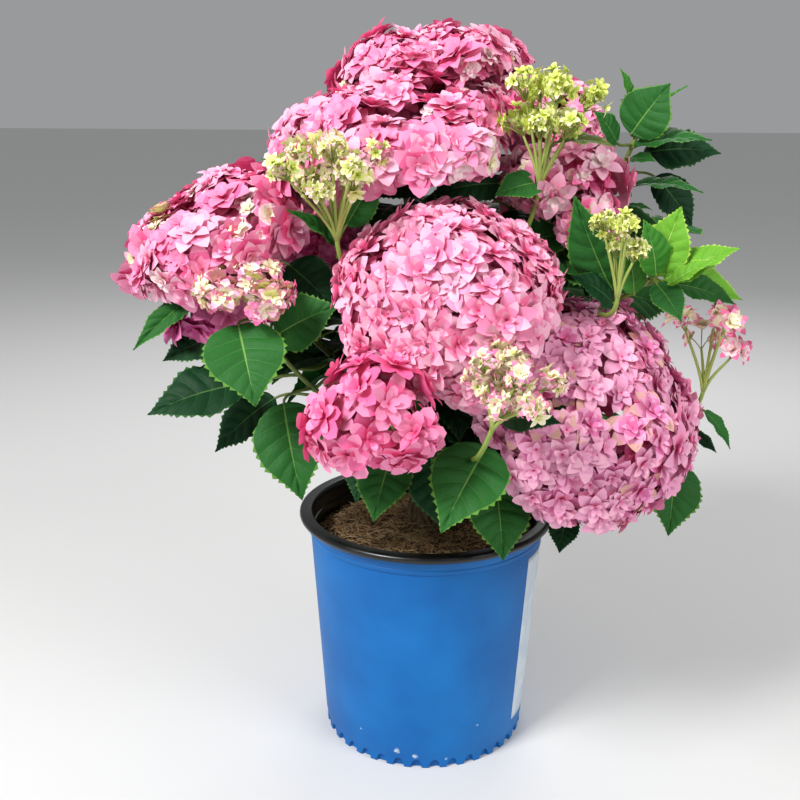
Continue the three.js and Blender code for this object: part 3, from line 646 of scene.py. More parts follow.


# ---- The leaves
# Broad oval leaves in opposite pairs, 60 to 120 mm long, with a drawn-out tip, a toothed margin and
# sunken pale veins; the blade puffs up a little between them. Each hangs on its own stout stalk.

# The dark tone is partly painted shade: a darker leaf green for leaves that lie in shade under the heads and
# inside the shrub. The tones also differ from leaf to leaf at random.
LEAF_FINISHES = {
    "dark": ((18, 60, 30), (44, 90, 46), (52, 98, 44), (78, 118, 64)),
    "mid": ((40, 100, 40), (70, 130, 58), (92, 142, 54), (112, 158, 76)),
    "light": ((62, 130, 44), (98, 158, 70), (124, 170, 60), (152, 190, 108)),
    "young": ((112, 176, 52), (146, 198, 84), (168, 206, 80), (186, 218, 124)),
    "olive": ((98, 112, 56), (130, 142, 78), (140, 132, 72), (150, 160, 100)),
}
CELL, CELL_RELIEF = 3, 0.35
blade_finishes = []
for name, tints in LEAF_FINISHES.items():
    for zone, colour in zip(("blade", "vein", "margin", "midrib"), tints):
        made = finish(f"leaf_{name}_{zone}", srgb(*colour), 0.58, (1.2, 0.1), specular=0.18)
        # Small raised cells between the finest veins.
        place = add_node(made.node_tree, "ShaderNodeTexCoord").outputs["Object"]
        cells = add_node(made.node_tree, "ShaderNodeTexVoronoi", {
            "Vector": place, "Scale": 1000 / CELL}, feature="SMOOTH_F1")
        emboss(made, cells.outputs["Distance"], CELL_RELIEF, invert=True)
        blade_finishes.append(made)
TONES = list(LEAF_FINISHES)

# Lengths are parts of a leaf's length, and angles are degrees.
LEAF = {
    "stalk": 0.28, "rise": 30, "roll": 48, "bend_at_foot": 0.35, "half_width": 0.335, "vein_sweep": 0.17,
    "puff": 0.024, "wave": 0.02, "arch": 0.25,
}
LEAF_STATIONS = 25
VEIN_PAIRS = 7
ACROSS = np.array([0, 0.026, 0.3, 0.62, 0.96, 1.0])


def blade_template():
    """A flat leaf of length 1: points (along, across, height), faces, and each face's zone. Rows of
    points run from the midrib out along the veins."""
    feet = [0.0, *np.linspace(0.05, 0.86, VEIN_PAIRS) ** 0.96, 1.0]
    # Rows: where it leaves the midrib, how far the vein's edge is ahead, how much it puffs, its tooth.
    rows = []
    for low, high in zip(feet[:-1], feet[1:]):
        gap = high - low
        rows += [
            (low, 0.0, 0.0, 0.02), (low, 0.007, 0.0, 0.012), (low + gap * 0.3, 0.0, 1.0, -0.012),
            (low + gap * 0.58, 0.0, 1.1, 0.018), (low + gap * 0.82, 0.0, 0.8, -0.012),
        ]
    rows.append((1.0, 0.0, 0.0, 0.0))
    points = []
    for side in (1, -1):
        for foot, vein, puff, tooth in rows:
            end = foot + LEAF["vein_sweep"] * math.sin(math.pi * foot) ** 0.6 if 0 < foot < 1 else foot
            half = 0.0
            if 0 < end < 1:
                half = LEAF["half_width"] * math.sin(math.pi * min(end, 1) ** 0.72) ** 0.8
            half *= 1 - 0.58 * np.clip((end - 0.6) / 0.4, 0, 1) ** 1.2
            size = min(1, half / 0.14)
            for v in ACROSS:
                out = half * v + (tooth * size if v == 1 else 0)
                forward = foot + vein * (1 - 0.8 * v) + (end - foot) * v**1.25
                forward += 0.9 * max(tooth, 0) * size if v == 1 else 0
                height = puff * LEAF["puff"] * math.sin(math.pi * min(v / 0.98, 1))
                points.append((min(forward, 1.0), side * max(out, 0.0), height))
    faces, zones = [], []
    wide = len(ACROSS)
    for s in (0, 1):
        base = s * len(rows) * wide
        for row in range(len(rows) - 1):
            for column in range(wide - 1):
                a = base + row * wide + column
                quad = (a, a + wide, a + wide + 1, a + 1)
                faces.append(quad if s == 1 else quad[::-1])
                is_vein = row % 5 == 0 and row > 0 and column < wide - 2
                zones.append(3 if column == 0 else 1 if is_vein else 2 if column == wide - 2 else 0)
    return np.array(points), faces, np.array(zones)


BLADE_POINTS, BLADE_FACES, BLADE_ZONES = blade_template()


def blade(base, out, up, start, end, length, width, roll, fold, seed):
    """One leaf in place. It sets off at an angle start above out, in the plane of out and up, and
    bends evenly to the angle end at its tip."""
    source = np.random.default_rng(seed)
    steps = np.linspace(0, 1, LEAF_STATIONS)
    angles = start + (end - start) * steps
    walked = np.stack([np.cos(angles), np.sin(angles)], 1)
    walked = np.vstack([[0, 0], np.cumsum((walked[1:] + walked[:-1]) / 2, 0) / (LEAF_STATIONS - 1)])
    part, side, height = BLADE_POINTS.T
    angle = np.interp(part, steps, angles)
    a, b = np.interp(part, steps, walked[:, 0]), np.interp(part, steps, walked[:, 1])
    level = np.cross(up, out)
    phase = source.uniform(0, 2 * math.pi, 2)
    wave = LEAF["wave"] * np.sin(part * 17 + phase[0] + np.sign(side) * phase[1])
    lifted = height + fold * np.abs(side) + wave * (np.abs(side) / 0.3) ** 2 - LEAF["arch"] * side**2
    heading = np.cos(angle)[:, None] * out + np.sin(angle)[:, None] * up
    upright = np.cross(heading, level)
    rolled = roll * np.clip(part * 6, 0, 1)
    over = np.cos(rolled)[:, None] * level - np.sin(rolled)[:, None] * upright
    normal = np.cos(rolled)[:, None] * upright + np.sin(rolled)[:, None] * level
    centre = base + length * (a[:, None] * out + b[:, None] * up)
    across = side * width / (2 * LEAF["half_width"])
    return centre + length * (across[:, None] * over + lifted[:, None] * normal)


# Leaves that show in front, each with its shoot, the foot and tip of the blade, the way its upper side
# faces, its width as a part of its length, and its tone.
SHOWN_LEAVES = [
    ("left", (-156, -118, 426), (-138, -162, 373), (0.05, -0.72, 0.7), 0.86, "mid"),
    ("left", (-156, -92, 370), (-231, -112, 349), (-0.1, -0.6, 0.8), 0.66, "dark"),
    ("left", (-124, -96, 355), (-107, -130, 284), (-0.1, -0.88, 0.45), 0.7, "mid"),
    ("left", (-135, -60, 349), (-185, -74, 305), (-0.3, -0.6, 0.7), 0.66, "dark"),
    ("left", (-197, -76, 443), (-245, -96, 401), (0.5, -0.3, 0.8), 0.3, "mid"),
    ("left", (-179, -66, 405), (-225, -80, 387), (-0.2, -0.7, 0.7), 0.7, "dark"),
    ("left", (-130, -86, 410), (-79, -96, 437), (0.1, -0.8, 0.55), 0.8, "mid"),
    ("left", (-122, -52, 465), (-84, -70, 433), (0.2, -0.85, 0.4), 0.8, "dark"),
    ("left_buds", (-79, -92, 486), (-115, -112, 515), (0.3, -0.5, 0.8), 0.36, "mid"),
    ("left_buds", (-71, -84, 501), (-45, -84, 544), (0.2, -0.9, 0.35), 0.56, "mid"),
    ("upper", (-109, -70, 543), (-137, -84, 553), (0, -0.5, 0.85), 0.5, "mid"),
    ("low", (-32, -118, 319), (-46, -158, 276), (-0.15, -0.86, 0.5), 0.72, "mid"),
    ("low", (-50, -98, 314), (-62, -120, 277), (-0.3, -0.8, 0.5), 0.7, "dark"),
    ("front", (44, -140, 331), (7, -200, 285), (-0.1, -0.8, 0.6), 0.68, "mid"),
    ("front", (55, -112, 289), (59, -152, 240), (0.05, -0.82, 0.57), 0.76, "mid"),
    ("front", (0, -84, 308), (11, -110, 250), (0, -0.9, 0.4), 0.7, "dark"),
    ("right", (53, -176, 365), (92, -196, 369), (0.05, -0.6, 0.8), 0.6, "dark"),
    ("right", (219, -54, 290), (210, -92, 237), (0.1, -0.9, 0.4), 0.74, "mid"),
    ("right", (251, -30, 331), (272, -44, 300), (0.5, -0.6, 0.6), 0.42, "mid"),
    ("right", (243, -20, 307), (265, -30, 291), (0.4, -0.7, 0.6), 0.5, "dark"),
    ("right", (195, -40, 269), (187, -60, 243), (0, -0.9, 0.4), 0.8, "dark"),
    ("right", (125, -60, 243), (117, -84, 215), (-0.1, -0.9, 0.4), 0.7, "dark"),
    ("right", (164, -50, 265), (149, -70, 238), (0, -0.9, 0.4), 0.7, "dark"),
    ("right_top", (175, 4, 573), (202, -8, 614), (-0.25, -0.9, 0.3), 0.88, "mid"),
    ("right_top", (173, 8, 602), (162, 4, 627), (0.6, -0.7, 0.3), 0.45, "light"),
    ("right_top", (180, 14, 571), (224, 20, 612), (-0.6, -0.2, 0.7), 0.24, "light"),
    ("right_top", (178, 2, 562), (236, -22, 568), (0.1, -0.35, 0.93), 0.6, "mid"),
    ("right_top", (161, -6, 566), (138, -18, 591), (0.4, -0.8, 0.5), 0.7, "mid"),
    ("right_top", (173, -10, 553), (191, -24, 551), (0.1, -0.6, 0.8), 0.75, "mid"),
    ("right_top", (181, 4, 529), (235, -14, 524), (0.1, -0.3, 0.95), 0.5, "mid"),
    ("right_top", (203, 22, 536), (237, 14, 493), (0.3, -0.85, 0.3), 0.66, "dark"),
    ("right_top", (174, -4, 512), (194, -12, 509), (0, -0.4, 0.9), 0.4, "mid"),
    ("right_buds", (101, -62, 568), (144, -76, 564), (0.05, -0.35, 0.93), 0.5, "olive"),
    ("right_buds", (90, -54, 535), (52, -70, 525), (-0.1, -0.7, 0.7), 0.7, "mid"),
    ("right_buds", (58, -30, 532), (1, -46, 524), (0, -0.8, 0.6), 0.6, "dark"),
    ("upper", (-6, -4, 534), (-50, -30, 520), (0, -0.8, 0.6), 0.64, "dark"),
    ("right_edge", (155, -52, 446), (117, -70, 523), (-0.45, -0.85, 0.2), 0.46, "mid"),
    ("right_edge", (157, -54, 433), (117, -74, 459), (0, -0.7, 0.7), 0.56, "dark"),
    ("right_edge", (194, -46, 456), (209, -50, 513), (-0.3, -0.85, 0.4), 0.66, "young"),
    ("right_edge", (191, -56, 458), (176, -62, 504), (0.3, -0.85, 0.4), 0.66, "light"),
    ("right_edge", (199, -52, 453), (253, -70, 482), (0.1, -0.5, 0.85), 0.56, "young"),
    ("right_edge", (198, -70, 452), (231, -84, 475), (0, -0.5, 0.85), 0.4, "young"),
    ("right_edge", (175, -50, 441), (164, -56, 483), (0.2, -0.9, 0.3), 0.56, "light"),
    ("right_edge", (189, -66, 453), (206, -88, 426), (0, -0.7, 0.7), 0.7, "mid"),
    ("right_edge", (224, 0, 449), (279, -10, 430), (0.15, -0.6, 0.8), 0.66, "young"),
    ("right_edge", (216, -24, 446), (266, -36, 430), (0.15, -0.6, 0.8), 0.56, "mid"),
]

# A head's radius and height, how far down it the florets go in degrees, their number and size, what
# they wear and their form, and the sides of it that open late.
HEADS = table("radius height edge florets size dress form young", {
    "front": (89, 70, 92, 104, 22, "blush", "narrow"),
    "right": (110, 76, 104, 136, 20.5, "mauve", "narrow"),
    "left": (98, 56, 104, 92, 21.5, "pink", "broad",
             ((-0.95, -0.3, -0.1), (0.3, -0.8, 0.4), (-0.55, -0.5, 0.67))),
    "upper": (110, 53, 91, 108, 21.5, "pink", "broad", ((0.8, -0.6, -0.07),)),
    "top": (96, 47, 90, 80, 21, "pink", "broad", ((-0.9, -0.4, 0.0), (0.8, -0.5, 0.3))),
    "right_upper": (64, 54, 108, 42, 22, "bright", "narrow", ((0.35, -0.8, 0.45),)),
    "right_back": (66, 50, 108, 46, 20, "pink", "broad"),
    "low": (52, 38, 108, 20, 23, "warm", "blunt"),
    "back_left": (80, 58, 108, 70, 21, "pink", "broad"),
    "back_right": (80, 58, 108, 70, 21, "blush", "narrow"),
    "back": (80, 58, 108, 70, 21, "bright", "broad"),
    "shaded": (40, 36, 108, 24, 16, "shaded", "broad"),
    "left_small": (46, 28, 108, 40, 12.5, "opening", "narrow"),
    "left_low": (38, 28, 72, 8, 23, "magenta", "broad"),
})


# A head's underside is this part of its height. A blade may reach a little into a head, and keeps off
# the rim and the mix.
UNDERSIDE = 0.3
HEAD_ALLOWANCE, RIM_CLEAR, RIM_ABOVE, LOWEST_BLADE = 6, 4, 5, 203


def meets_something(points):
    """True where a blade would reach into a flower head or lie on the pot."""
    for name, head in HEADS.items():
        lean = unit(SHOOTS[name]["lean"])
        apart = points - np.array(SHOOTS[name]["tip"], float)
        rise = apart @ lean
        out = np.linalg.norm(apart - rise[:, None] * lean, axis=1)
        tall = np.where(rise > 0, head["height"], head["height"] * UNDERSIDE)
        if ((rise / tall) ** 2 + (out / (head["radius"] - HEAD_ALLOWANCE)) ** 2 < 0.92).any():
            return True
    radius = np.hypot(points[:, 0], points[:, 1])
    on_rim = (radius > 100) & (radius < RIM_RADIUS + RIM_CLEAR) & (points[:, 2] < POT_HEIGHT + RIM_ABOVE)
    return bool((on_rim | (points[:, 2] < LOWEST_BLADE)).any())


leaves = {"left": Bundle(), "right": Bundle()}
MIDDLE = 20
shown_shoots = {row[0] for row in SHOWN_LEAVES} | {"left_small", "far_buds"}


def tapering(curve, stations, thick, thin, sides):
    """A stalk along a curve, its radius from thick at the foot to thin at the end."""
    return tube(along(curve, np.linspace(0, 1, stations)), np.linspace(thick, thin, stations), sides)


def hang_leaf(stem_point, shape, tone, seed):
    """Adds one leaf and its stalk to the side of the plant that it is on."""
    base, out, up, start = shape[:4]
    points = blade(*shape, seed)
    bundle = leaves["left" if base[0] < MIDDLE else "right"]
    bundle.add(points, BLADE_FACES, BLADE_ZONES + 4 * TONES.index(tone))
    first = unit(base - stem_point)
    heading = math.cos(start) * out + math.sin(start) * up
    reach = np.linalg.norm(base - stem_point)
    curve = np.array([stem_point, stem_point + first * reach * 0.4 + UP * reach * 0.08,
                      base - heading * reach * 0.3, base + heading * 2])
    stems.add(*tapering(curve, 8, 1.7, 1.15, 6), YOUNG if tone in ("young", "light") else GREEN)


def nearest_stem(base):
    """The point on a stem that a leaf's stalk comes from: near, and not above the leaf's foot."""
    stations = np.linspace(0.3, 0.97, 60)
    spots = np.vstack([along(path, stations) for path in paths.values()])
    apart = np.linalg.norm(spots - base, axis=1) + 0.8 * np.maximum(spots[:, 2] - base[2], 0)
    return spots[np.argmin(apart)]


SHOWN_BEND, YOUNG_BEND, SHOWN_FOLD = 34, 22, 0.2
for number, (_, base, tip, face, width, tone) in enumerate(SHOWN_LEAVES):
    base, tip = np.array(base, float), np.array(tip, float)
    chord = unit(tip - base)
    up = unit(np.array(face) - np.dot(face, chord) * chord)
    bend = math.radians(YOUNG_BEND if tone == "young" else SHOWN_BEND)
    length = np.linalg.norm(tip - base) * 1.06
    shape = (base, chord, up, bend / 2, -bend / 2, length, width, 0.0, SHOWN_FOLD)
    hang_leaf(nearest_stem(base), shape, tone, 900 + number)

for order, (name, shoot) in enumerate(SHOOTS.items()):
    source = np.random.default_rng(701 + order)
    face = bearing(shoot["face"]) if "face" in shoot else unit([*shoot["tip"][:2], 0])
    for i, part in enumerate(leaf_parts[name]):
        share = i / max(len(leaf_parts[name]) - 1, 1)
        root = along(paths[name], part)
        for half in (0, 180):
            towards = shoot["turn"] + 90 * i + half + source.uniform(-15, 15)
            length = shoot["leaf"] * (1 - 0.3 * share) * source.uniform(0.9, 1.1)
            droop = math.radians(shoot["droop"] * (1 - 0.25 * share) * source.uniform(0.85, 1.15))
            width, fold = source.uniform(0.62, 0.72), source.uniform(0.1, 0.3)
            tone = source.choice(["dark", "mid", "light"], p=[0.35, 0.5, 0.15])
            if name in shown_shoots and bearing(towards)[1] < -0.1:
                continue
            for swing, scale in ((0, 1), (20, 1), (-20, 1), (36, 0.85), (-36, 0.85), (0, 0.7)):
                out = bearing(towards + swing)
                rise = math.radians(LEAF["rise"])
                base = root + length * scale * LEAF["stalk"] * (math.cos(rise) * out + math.sin(rise) * UP)
                roll = math.radians(LEAF["roll"]) * float(np.dot(np.cross(UP, out), face))
                start, end = rise - droop * LEAF["bend_at_foot"], rise - droop
                shape = (base, out, UP, start, end, length * scale, width, roll, fold)
                if not meets_something(blade(*shape, 1)):
                    hang_leaf(root, shape, tone, 1000 + 20 * order + 2 * i + half // 180)
                    break

# Smaller shaded leaves along every cane's shoot, all of them well inside the crown. Most of them take the
# dark tone, painted shade for the inside of the crown.
INSIDE_REACH, INSIDE_FRONT = 168, -118
INSIDE_OUT, INSIDE_UP = 0.87, 0.5
for order, name in enumerate(own_shoots):
    source = np.random.default_rng(1300 + order)
    for i, part in enumerate(np.linspace(0.36, 0.86, 9)):
        root = along(paths[name], part)
        for half in (0, 180):
            out = bearing(SHOOTS[name]["turn"] + 45 + 70 * i + half + source.uniform(-20, 20))
            length = source.uniform(58, 82)
            start, end = math.radians(source.uniform(15, 40)), math.radians(source.uniform(-60, -20))
            base = root + length * LEAF["stalk"] * (INSIDE_OUT * out + INSIDE_UP * UP)
            width, fold = source.uniform(0.62, 0.74), source.uniform(0.08, 0.25)
            tone = source.choice(["dark", "mid"], p=[0.7, 0.3])
            shape = (base, out, UP, start, end, length, width, 0, fold)
            trial = blade(*shape, 1)
            reach = np.hypot(trial[:, 0], trial[:, 1]).max()
            if reach < INSIDE_REACH and trial[:, 1].min() > INSIDE_FRONT and not meets_something(trial):
                hang_leaf(root, shape, tone, 1400 + 20 * order + 2 * i + half // 180)

leafy = [name for name, shoot in SHOOTS.items() if shoot["pairs"]]
foliage_left = leaves["left"].piece("foliage_left", blade_finishes)
foliage_right = leaves["right"].piece("foliage_right", blade_finishes)
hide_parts(*["leaves_" + name for name in leafy if SHOOTS[name]["tip"][0] < MIDDLE])
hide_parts(*["leaves_" + name for name in leafy if SHOOTS[name]["tip"][0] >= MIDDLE])


# ---- The flower heads
# Domed heads of double florets, each floret three whorls of pointed sepals on its own thin stalk. The
# stalks spring from rays that fan out from the tip of the stem.

PETAL_COLOURS = {
    "blush": (252, 184, 210), "soft": (249, 146, 188), "pink": (244, 108, 163), "warm": (236, 84, 144),
    "deep": (226, 80, 142), "shadow": (184, 52, 112), "magenta": (220, 88, 160), "white": (252, 224, 226),
    "cream": (250, 242, 204), "mauve": (230, 124, 178), "pale_mauve": (243, 166, 202),
    "faded": (226, 172, 160), "lime": (202, 216, 84), "pale_lime": (232, 238, 146),
}
PETALS = list(PETAL_COLOURS)
petal_finishes = [
    finish("petal_" + name, srgb(*colour), 0.55, (1.1, 0.08)) for name, colour in PETAL_COLOURS.items()
]

# A floret's dress: the colour of the foot, body and tip of its outer sepals, then of its inner ones. In the
# pink dresses the deeper colour at the foot is painted shade where the sepals meet.
DRESSES = {
    "blush": [(0.5, "pink soft blush", "pink soft blush"), (0.35, "pink soft soft", "soft blush blush"),
              (0.15, "warm soft soft", "pink soft blush")],
    "mauve": [(0.4, "warm mauve pale_mauve", "pink pale_mauve pale_mauve"),
              (0.25, "mauve pale_mauve pale_mauve", "pink pale_mauve blush"),
              (0.2, "mauve pale_mauve blush", "pink pale_mauve blush"),
              (0.15, "mauve pale_mauve faded", "pink mauve pale_mauve")],
    "pink": [(0.34, "warm pink soft", "warm soft blush"), (0.3, "warm pink soft", "warm soft soft"),
             (0.24, "warm soft blush", "pink blush blush"), (0.12, "pink blush white", "cream white white")],
    # The bright dress is pale partly because these heads are paler, and partly as painted light against the
    # shade that the heads above cast on them.
    "bright": [(0.4, "soft blush blush", "white white blush"), (0.32, "pink soft blush", "blush blush soft"),
               (0.28, "white blush blush", "cream cream white")],
    "warm": [(0.6, "warm pink soft", "pink soft soft"), (0.4, "warm pink pink", "warm pink soft")],
    "shaded": [(0.7, "shadow magenta magenta", "deep magenta mauve"),
               (0.3, "deep magenta mauve", "deep mauve mauve")],
    "opening": [(0.4, "cream white soft", "cream cream white"), (0.3, "white soft pink", "cream white soft"),
                (0.3, "pale_lime cream blush", "pale_lime cream cream")],
    "magenta": [(0.6, "magenta magenta mauve", "deep magenta mauve"),
                (0.4, "magenta mauve mauve", "magenta mauve mauve")],
    # The under dress, deep pinks for the half-hidden florets, is painted shade in the gaps between the outer
    # florets.
    "under": [(0.6, "deep pink soft", "deep warm pink"), (0.4, "warm soft soft", "deep warm pink")],
    "under_opening": [(0.5, "lime pale_lime faded", "lime lime lime"),
                      (0.5, "faded faded soft", "lime lime lime")],
}

GOLDEN_ANGLE = math.radians(137.508)
# A sepal's points along it, and how wide it is there, as parts of its length and greatest half width.
PETAL_ROWS = np.array([0, 0.18, 0.42, 0.66, 0.86, 1.0])
FORMS = {
    "narrow": (0.58, np.array([0.3, 0.76, 1.0, 0.92, 0.52, 0.0])),
    "broad": (0.7, np.array([0.26, 0.74, 1.0, 0.9, 0.52, 0.0])),
    "blunt": (0.56, np.array([0.26, 0.62, 0.92, 1.0, 0.78, 0.0])),
    "bud": (0.56, np.array([0.3, 0.8, 1.0, 0.86, 0.5, 0.0])),
}
CROSS_ROWS = len(PETAL_ROWS) - 1
# Three points on each row, and one at the tip.
PETAL_FACES = [
    (low, low + 3, low + 4, low + 1) for row in range(CROSS_ROWS - 1) for low in (3 * row, 3 * row + 1)
]
PETAL_FACES += [(low, 3 * CROSS_ROWS, low + 1) for low in (3 * CROSS_ROWS - 3, 3 * CROSS_ROWS - 2)]
ZONE_OF_FACE = np.array([0, 0, 1, 1, 1, 1, 2, 2, 2, 2])
WHORLS = (
    # sepals, length, width, angle at the foot, angle at the tip, cup, height of the foot
    (6, 1.0, 1.0, 26, -12, 0.2, 0.0),
    (5, 0.78, 0.94, 40, 4, 0.22, 0.07),
    (4, 0.5, 0.86, 58, 26, 0.3, 0.12),
)
UNDER_WHORL = ((6, 1.0, 1.1, 20, -20, 0.15, 0.0),)
# How unlike each other the sepals are: the turn of each, its length and width, its angle at the foot
# and at the tip in degrees, and its twist.
UNEVEN = {"turn": 0.16, "length": (0.85, 1.12), "width": (0.88, 1.12), "foot": 9, "tip": 18, "twist": 0.16}


def sepals(bundle, centres, normals, sizes, source, whorls, colours, form):
    """Rows of pointed sepals round each centre. colours is florets x 2 x 3: outer and inner dress."""
    broad, outline = FORMS[form]
    florets = len(centres)
    across = unit(np.cross(normals, [0.37, 0.21, 0.9]))
    spin = source.uniform(0, 2 * math.pi, florets)
    for number, (count, length, width, start, end, cup, foot) in enumerate(whorls):
        shape = (florets, count)
        turn = spin[:, None] + (np.arange(count)[None] + 0.5 * (number % 2)) * 2 * math.pi / count
        turn = turn + source.uniform(-UNEVEN["turn"], UNEVEN["turn"], shape)
        side = np.cross(normals, across)
        radial = np.cos(turn)[..., None] * across[:, None] + np.sin(turn)[..., None] * side[:, None]
        level = np.cross(normals[:, None], radial)
        reach = sizes[:, None] * length * source.uniform(*UNEVEN["length"], shape)
        half = reach * broad * width / 2 * source.uniform(*UNEVEN["width"], shape)
        low = np.radians(start + source.uniform(-UNEVEN["foot"], UNEVEN["foot"], shape))
        high = np.radians(end + source.uniform(-UNEVEN["tip"], UNEVEN["tip"], shape))
        angle = low[..., None] + (high - low)[..., None] * PETAL_ROWS
        mean = (angle[..., 1:] + angle[..., :-1]) / 2
        steps = np.diff(PETAL_ROWS) * reach[..., None]
        walked = np.zeros((*angle.shape, 2))
        walked[..., 1:, 0] = np.cumsum(np.cos(mean) * steps, -1)
        walked[..., 1:, 1] = np.cumsum(np.sin(mean) * steps, -1)
        start_at = centres[:, None] + normals[:, None] * (foot * sizes[:, None])[..., None]
        middle = start_at[:, :, None] + walked[..., :1] * radial[:, :, None]
        middle = middle + walked[..., 1:] * normals[:, None, None]
        upright = np.cos(angle)[..., None] * normals[:, None, None]
        upright = upright - np.sin(angle)[..., None] * radial[:, :, None]
        spread = (half[..., None] * outline)[..., None]
        twist = source.uniform(-UNEVEN["twist"], UNEVEN["twist"], shape)[..., None, None]
        sideways = spread * (level[:, :, None] + twist * upright)
        lift = spread * cup * upright
        rows = np.stack([middle - sideways + lift, middle, middle + sideways + lift], 3)
        # The last row has no width: one point of it is the tip.
        points = rows.reshape(florets * count, -1, 3)[:, : 3 * CROSS_ROWS + 1]
        dress = colours[:, min(number, 1)]
        deal = np.repeat(dress[:, ZONE_OF_FACE], count, 0)
        bundle.add_copies(points, PETAL_FACES, deal)


def dress_florets(kind, count, source):
    """Deals each floret its colours, as places in the list of petal finishes."""
    choices = DRESSES[kind]
    picked = source.choice(len(choices), count, p=[share for share, _, _ in choices])
    places = [[[PETALS.index(word) for word in text.split()] for text in dress[1:]] for dress in choices]
    return np.array(places)[picked]


def spiral(count, edge, turn=0):
    """Ways spread evenly over a cap, from its top down to where they rise by edge."""
    rise = 1 + (edge - 1) * (np.arange(count) + 0.5) / count
    angle = np.arange(count) * GOLDEN_ANGLE + turn
    out = np.sqrt(1 - rise**2)
    return np.stack([out * np.cos(angle), out * np.sin(angle), rise], 1)


def axes_at(name):
    """The tip of a shoot, and two axes across it with the shoot's own as the third."""
    lean = unit(SHOOTS[name]["lean"])
    across = unit(np.cross([0, 1, 0], lean))
    return np.array(SHOOTS[name]["tip"], float), np.array([across, np.cross(lean, across), lean])


rays = Bundle()
TAN_RAY, PINK_RAY, GREEN_RAY = 0, 1, 2
PETAL_GROUPS = {
    "petals_front": ("front", "low", "left_small", "left_low", "shaded"),
    "petals_right": ("right", "right_upper"),
    "petals_top": ("upper", "top", "right_back"),
    "petals_sides": ("left", "back_left", "back_right", "back"),
}
# How far a bunch of florets domes, draws its florets together and turns them outward.
BUNCH_DOME, BUNCH_PULL, BUNCH_TURN = 15, 0.17, 0.9
LATE_PATCH = 0.94
LATE_SIZE, UNDER_SIZE, UNDER_SCATTER = 0.62, 0.87, 6
for group, members in PETAL_GROUPS.items():
    petals = Bundle()
    for name in members:
        head, (tip, axes) = HEADS[name], axes_at(name)
        lean = axes[2]
        source = np.random.default_rng(101 + list(SHOOTS).index(name))
        radius, height, count = head["radius"] - 8, head["height"] - 9, head["florets"]
        edge = math.cos(math.radians(head["edge"]))
        # The florets stand in bunches, each a little domed, so that the head's outline is uneven.
        bunches = max(4, count // 10)
        aims, bunch_aims = spiral(count, edge), spiral(bunches, edge, 1)
        nearness = aims @ bunch_aims.T
        own = np.argmax(nearness, 1)
        close = (nearness.max(1) - nearness.max(1).min()) / (1 - nearness.max(1).min())
        swell = BUNCH_DOME * close - 12 + source.uniform(-7, 5, bunches)[own] + source.uniform(-3, 3, count)
        aims = unit(aims + BUNCH_PULL * bunch_aims[own])
        out, rise = np.hypot(aims[:, 0], aims[:, 1]), aims[:, 2]
        tall = np.where(rise > 0, height, height * UNDERSIDE)
        beside = aims[:, :2] @ axes[:2] / np.maximum(out, 1e-6)[:, None]
        feet = tip + beside * (radius * out)[:, None] + lean * (tall * rise)[:, None]
        normals = beside * (out / radius)[:, None]
        normals = unit(normals + lean * (rise / np.maximum(tall, radius * 0.5))[:, None])
        turned_out = BUNCH_TURN * (aims - bunch_aims[own]) @ axes
        normals = unit(normals + turned_out + source.normal(0, 0.2, (count, 3)))
        feet = feet + source.normal(0, 1.4, (count, 3)) + normals * swell[:, None]
        colours, below = (dress_florets(kind, count, source) for kind in (head["dress"], "under"))
        # Patches of a head open late: their florets are still small and creamy.
        opening = np.full(count, name == "left_small")
        for way in head.get("young", ()):
            opening |= aims @ axes @ unit(way) > LATE_PATCH
        colours[opening] = dress_florets("opening", opening.sum(), source)
        below[opening] = dress_florets("under_opening", opening.sum(), source)
        young = opening | (colours[:, 1, 0] == PETALS.index("cream"))
        sizes = head["size"] * source.uniform(0.86, 1.14, count)
        if head["radius"] > 60:
            sizes = np.where(young, LATE_SIZE, 1) * sizes
        sepals(petals, feet, normals, sizes, source, WHORLS, colours, head["form"])
        # Deeper layers of half-hidden florets fill the gaps between the outer ones. Their deep pink dress is
        # painted shade in those gaps.
        depths = (8, 14, 21) if count > 100 else (8, 14) if count > 24 else (9,) if count > 10 else ()
        for depth in depths:
            lower = feet - normals * (depth + np.maximum(swell, 0))[:, None]
            lower = lower + unit(source.normal(0, 1, (count, 3))) * UNDER_SCATTER
            sepals(petals, lower, normals, sizes * UNDER_SIZE, source, UNDER_WHORL, below, "broad")
        # Rays from the stem's tip, and a stalk from the nearest ray to each floret.
        main = 9 if count > 40 else 5
        ends = tip + (feet[:: max(count // main, 1)] - tip) * 0.55
        for end in ends:
            curve = np.array([tip - lean * 6, tip + lean * 6, (tip + end) / 2 + lean * 4, end])
            rays.add(*tapering(curve, 6, 1.7, 1.2, 5), TAN_RAY)
        for foot, normal in zip(feet, normals):
            nearest = ends[np.argmin(np.linalg.norm(ends - foot, axis=1))]
            curve = np.array([nearest, (nearest * 2 + foot) / 3, foot - normal * 6, foot])
            rays.add(*tapering(curve, 4, 0.8, 0.55, 3), PINK_RAY)
    bloom = petals.piece(group, petal_finishes)
    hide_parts(*["bloom_" + name for name in members])


# ---- The unopened heads
# Tight bunches of buds and half-open star florets, cream or lime green, on pale rays that spread from
# the top of a stem.

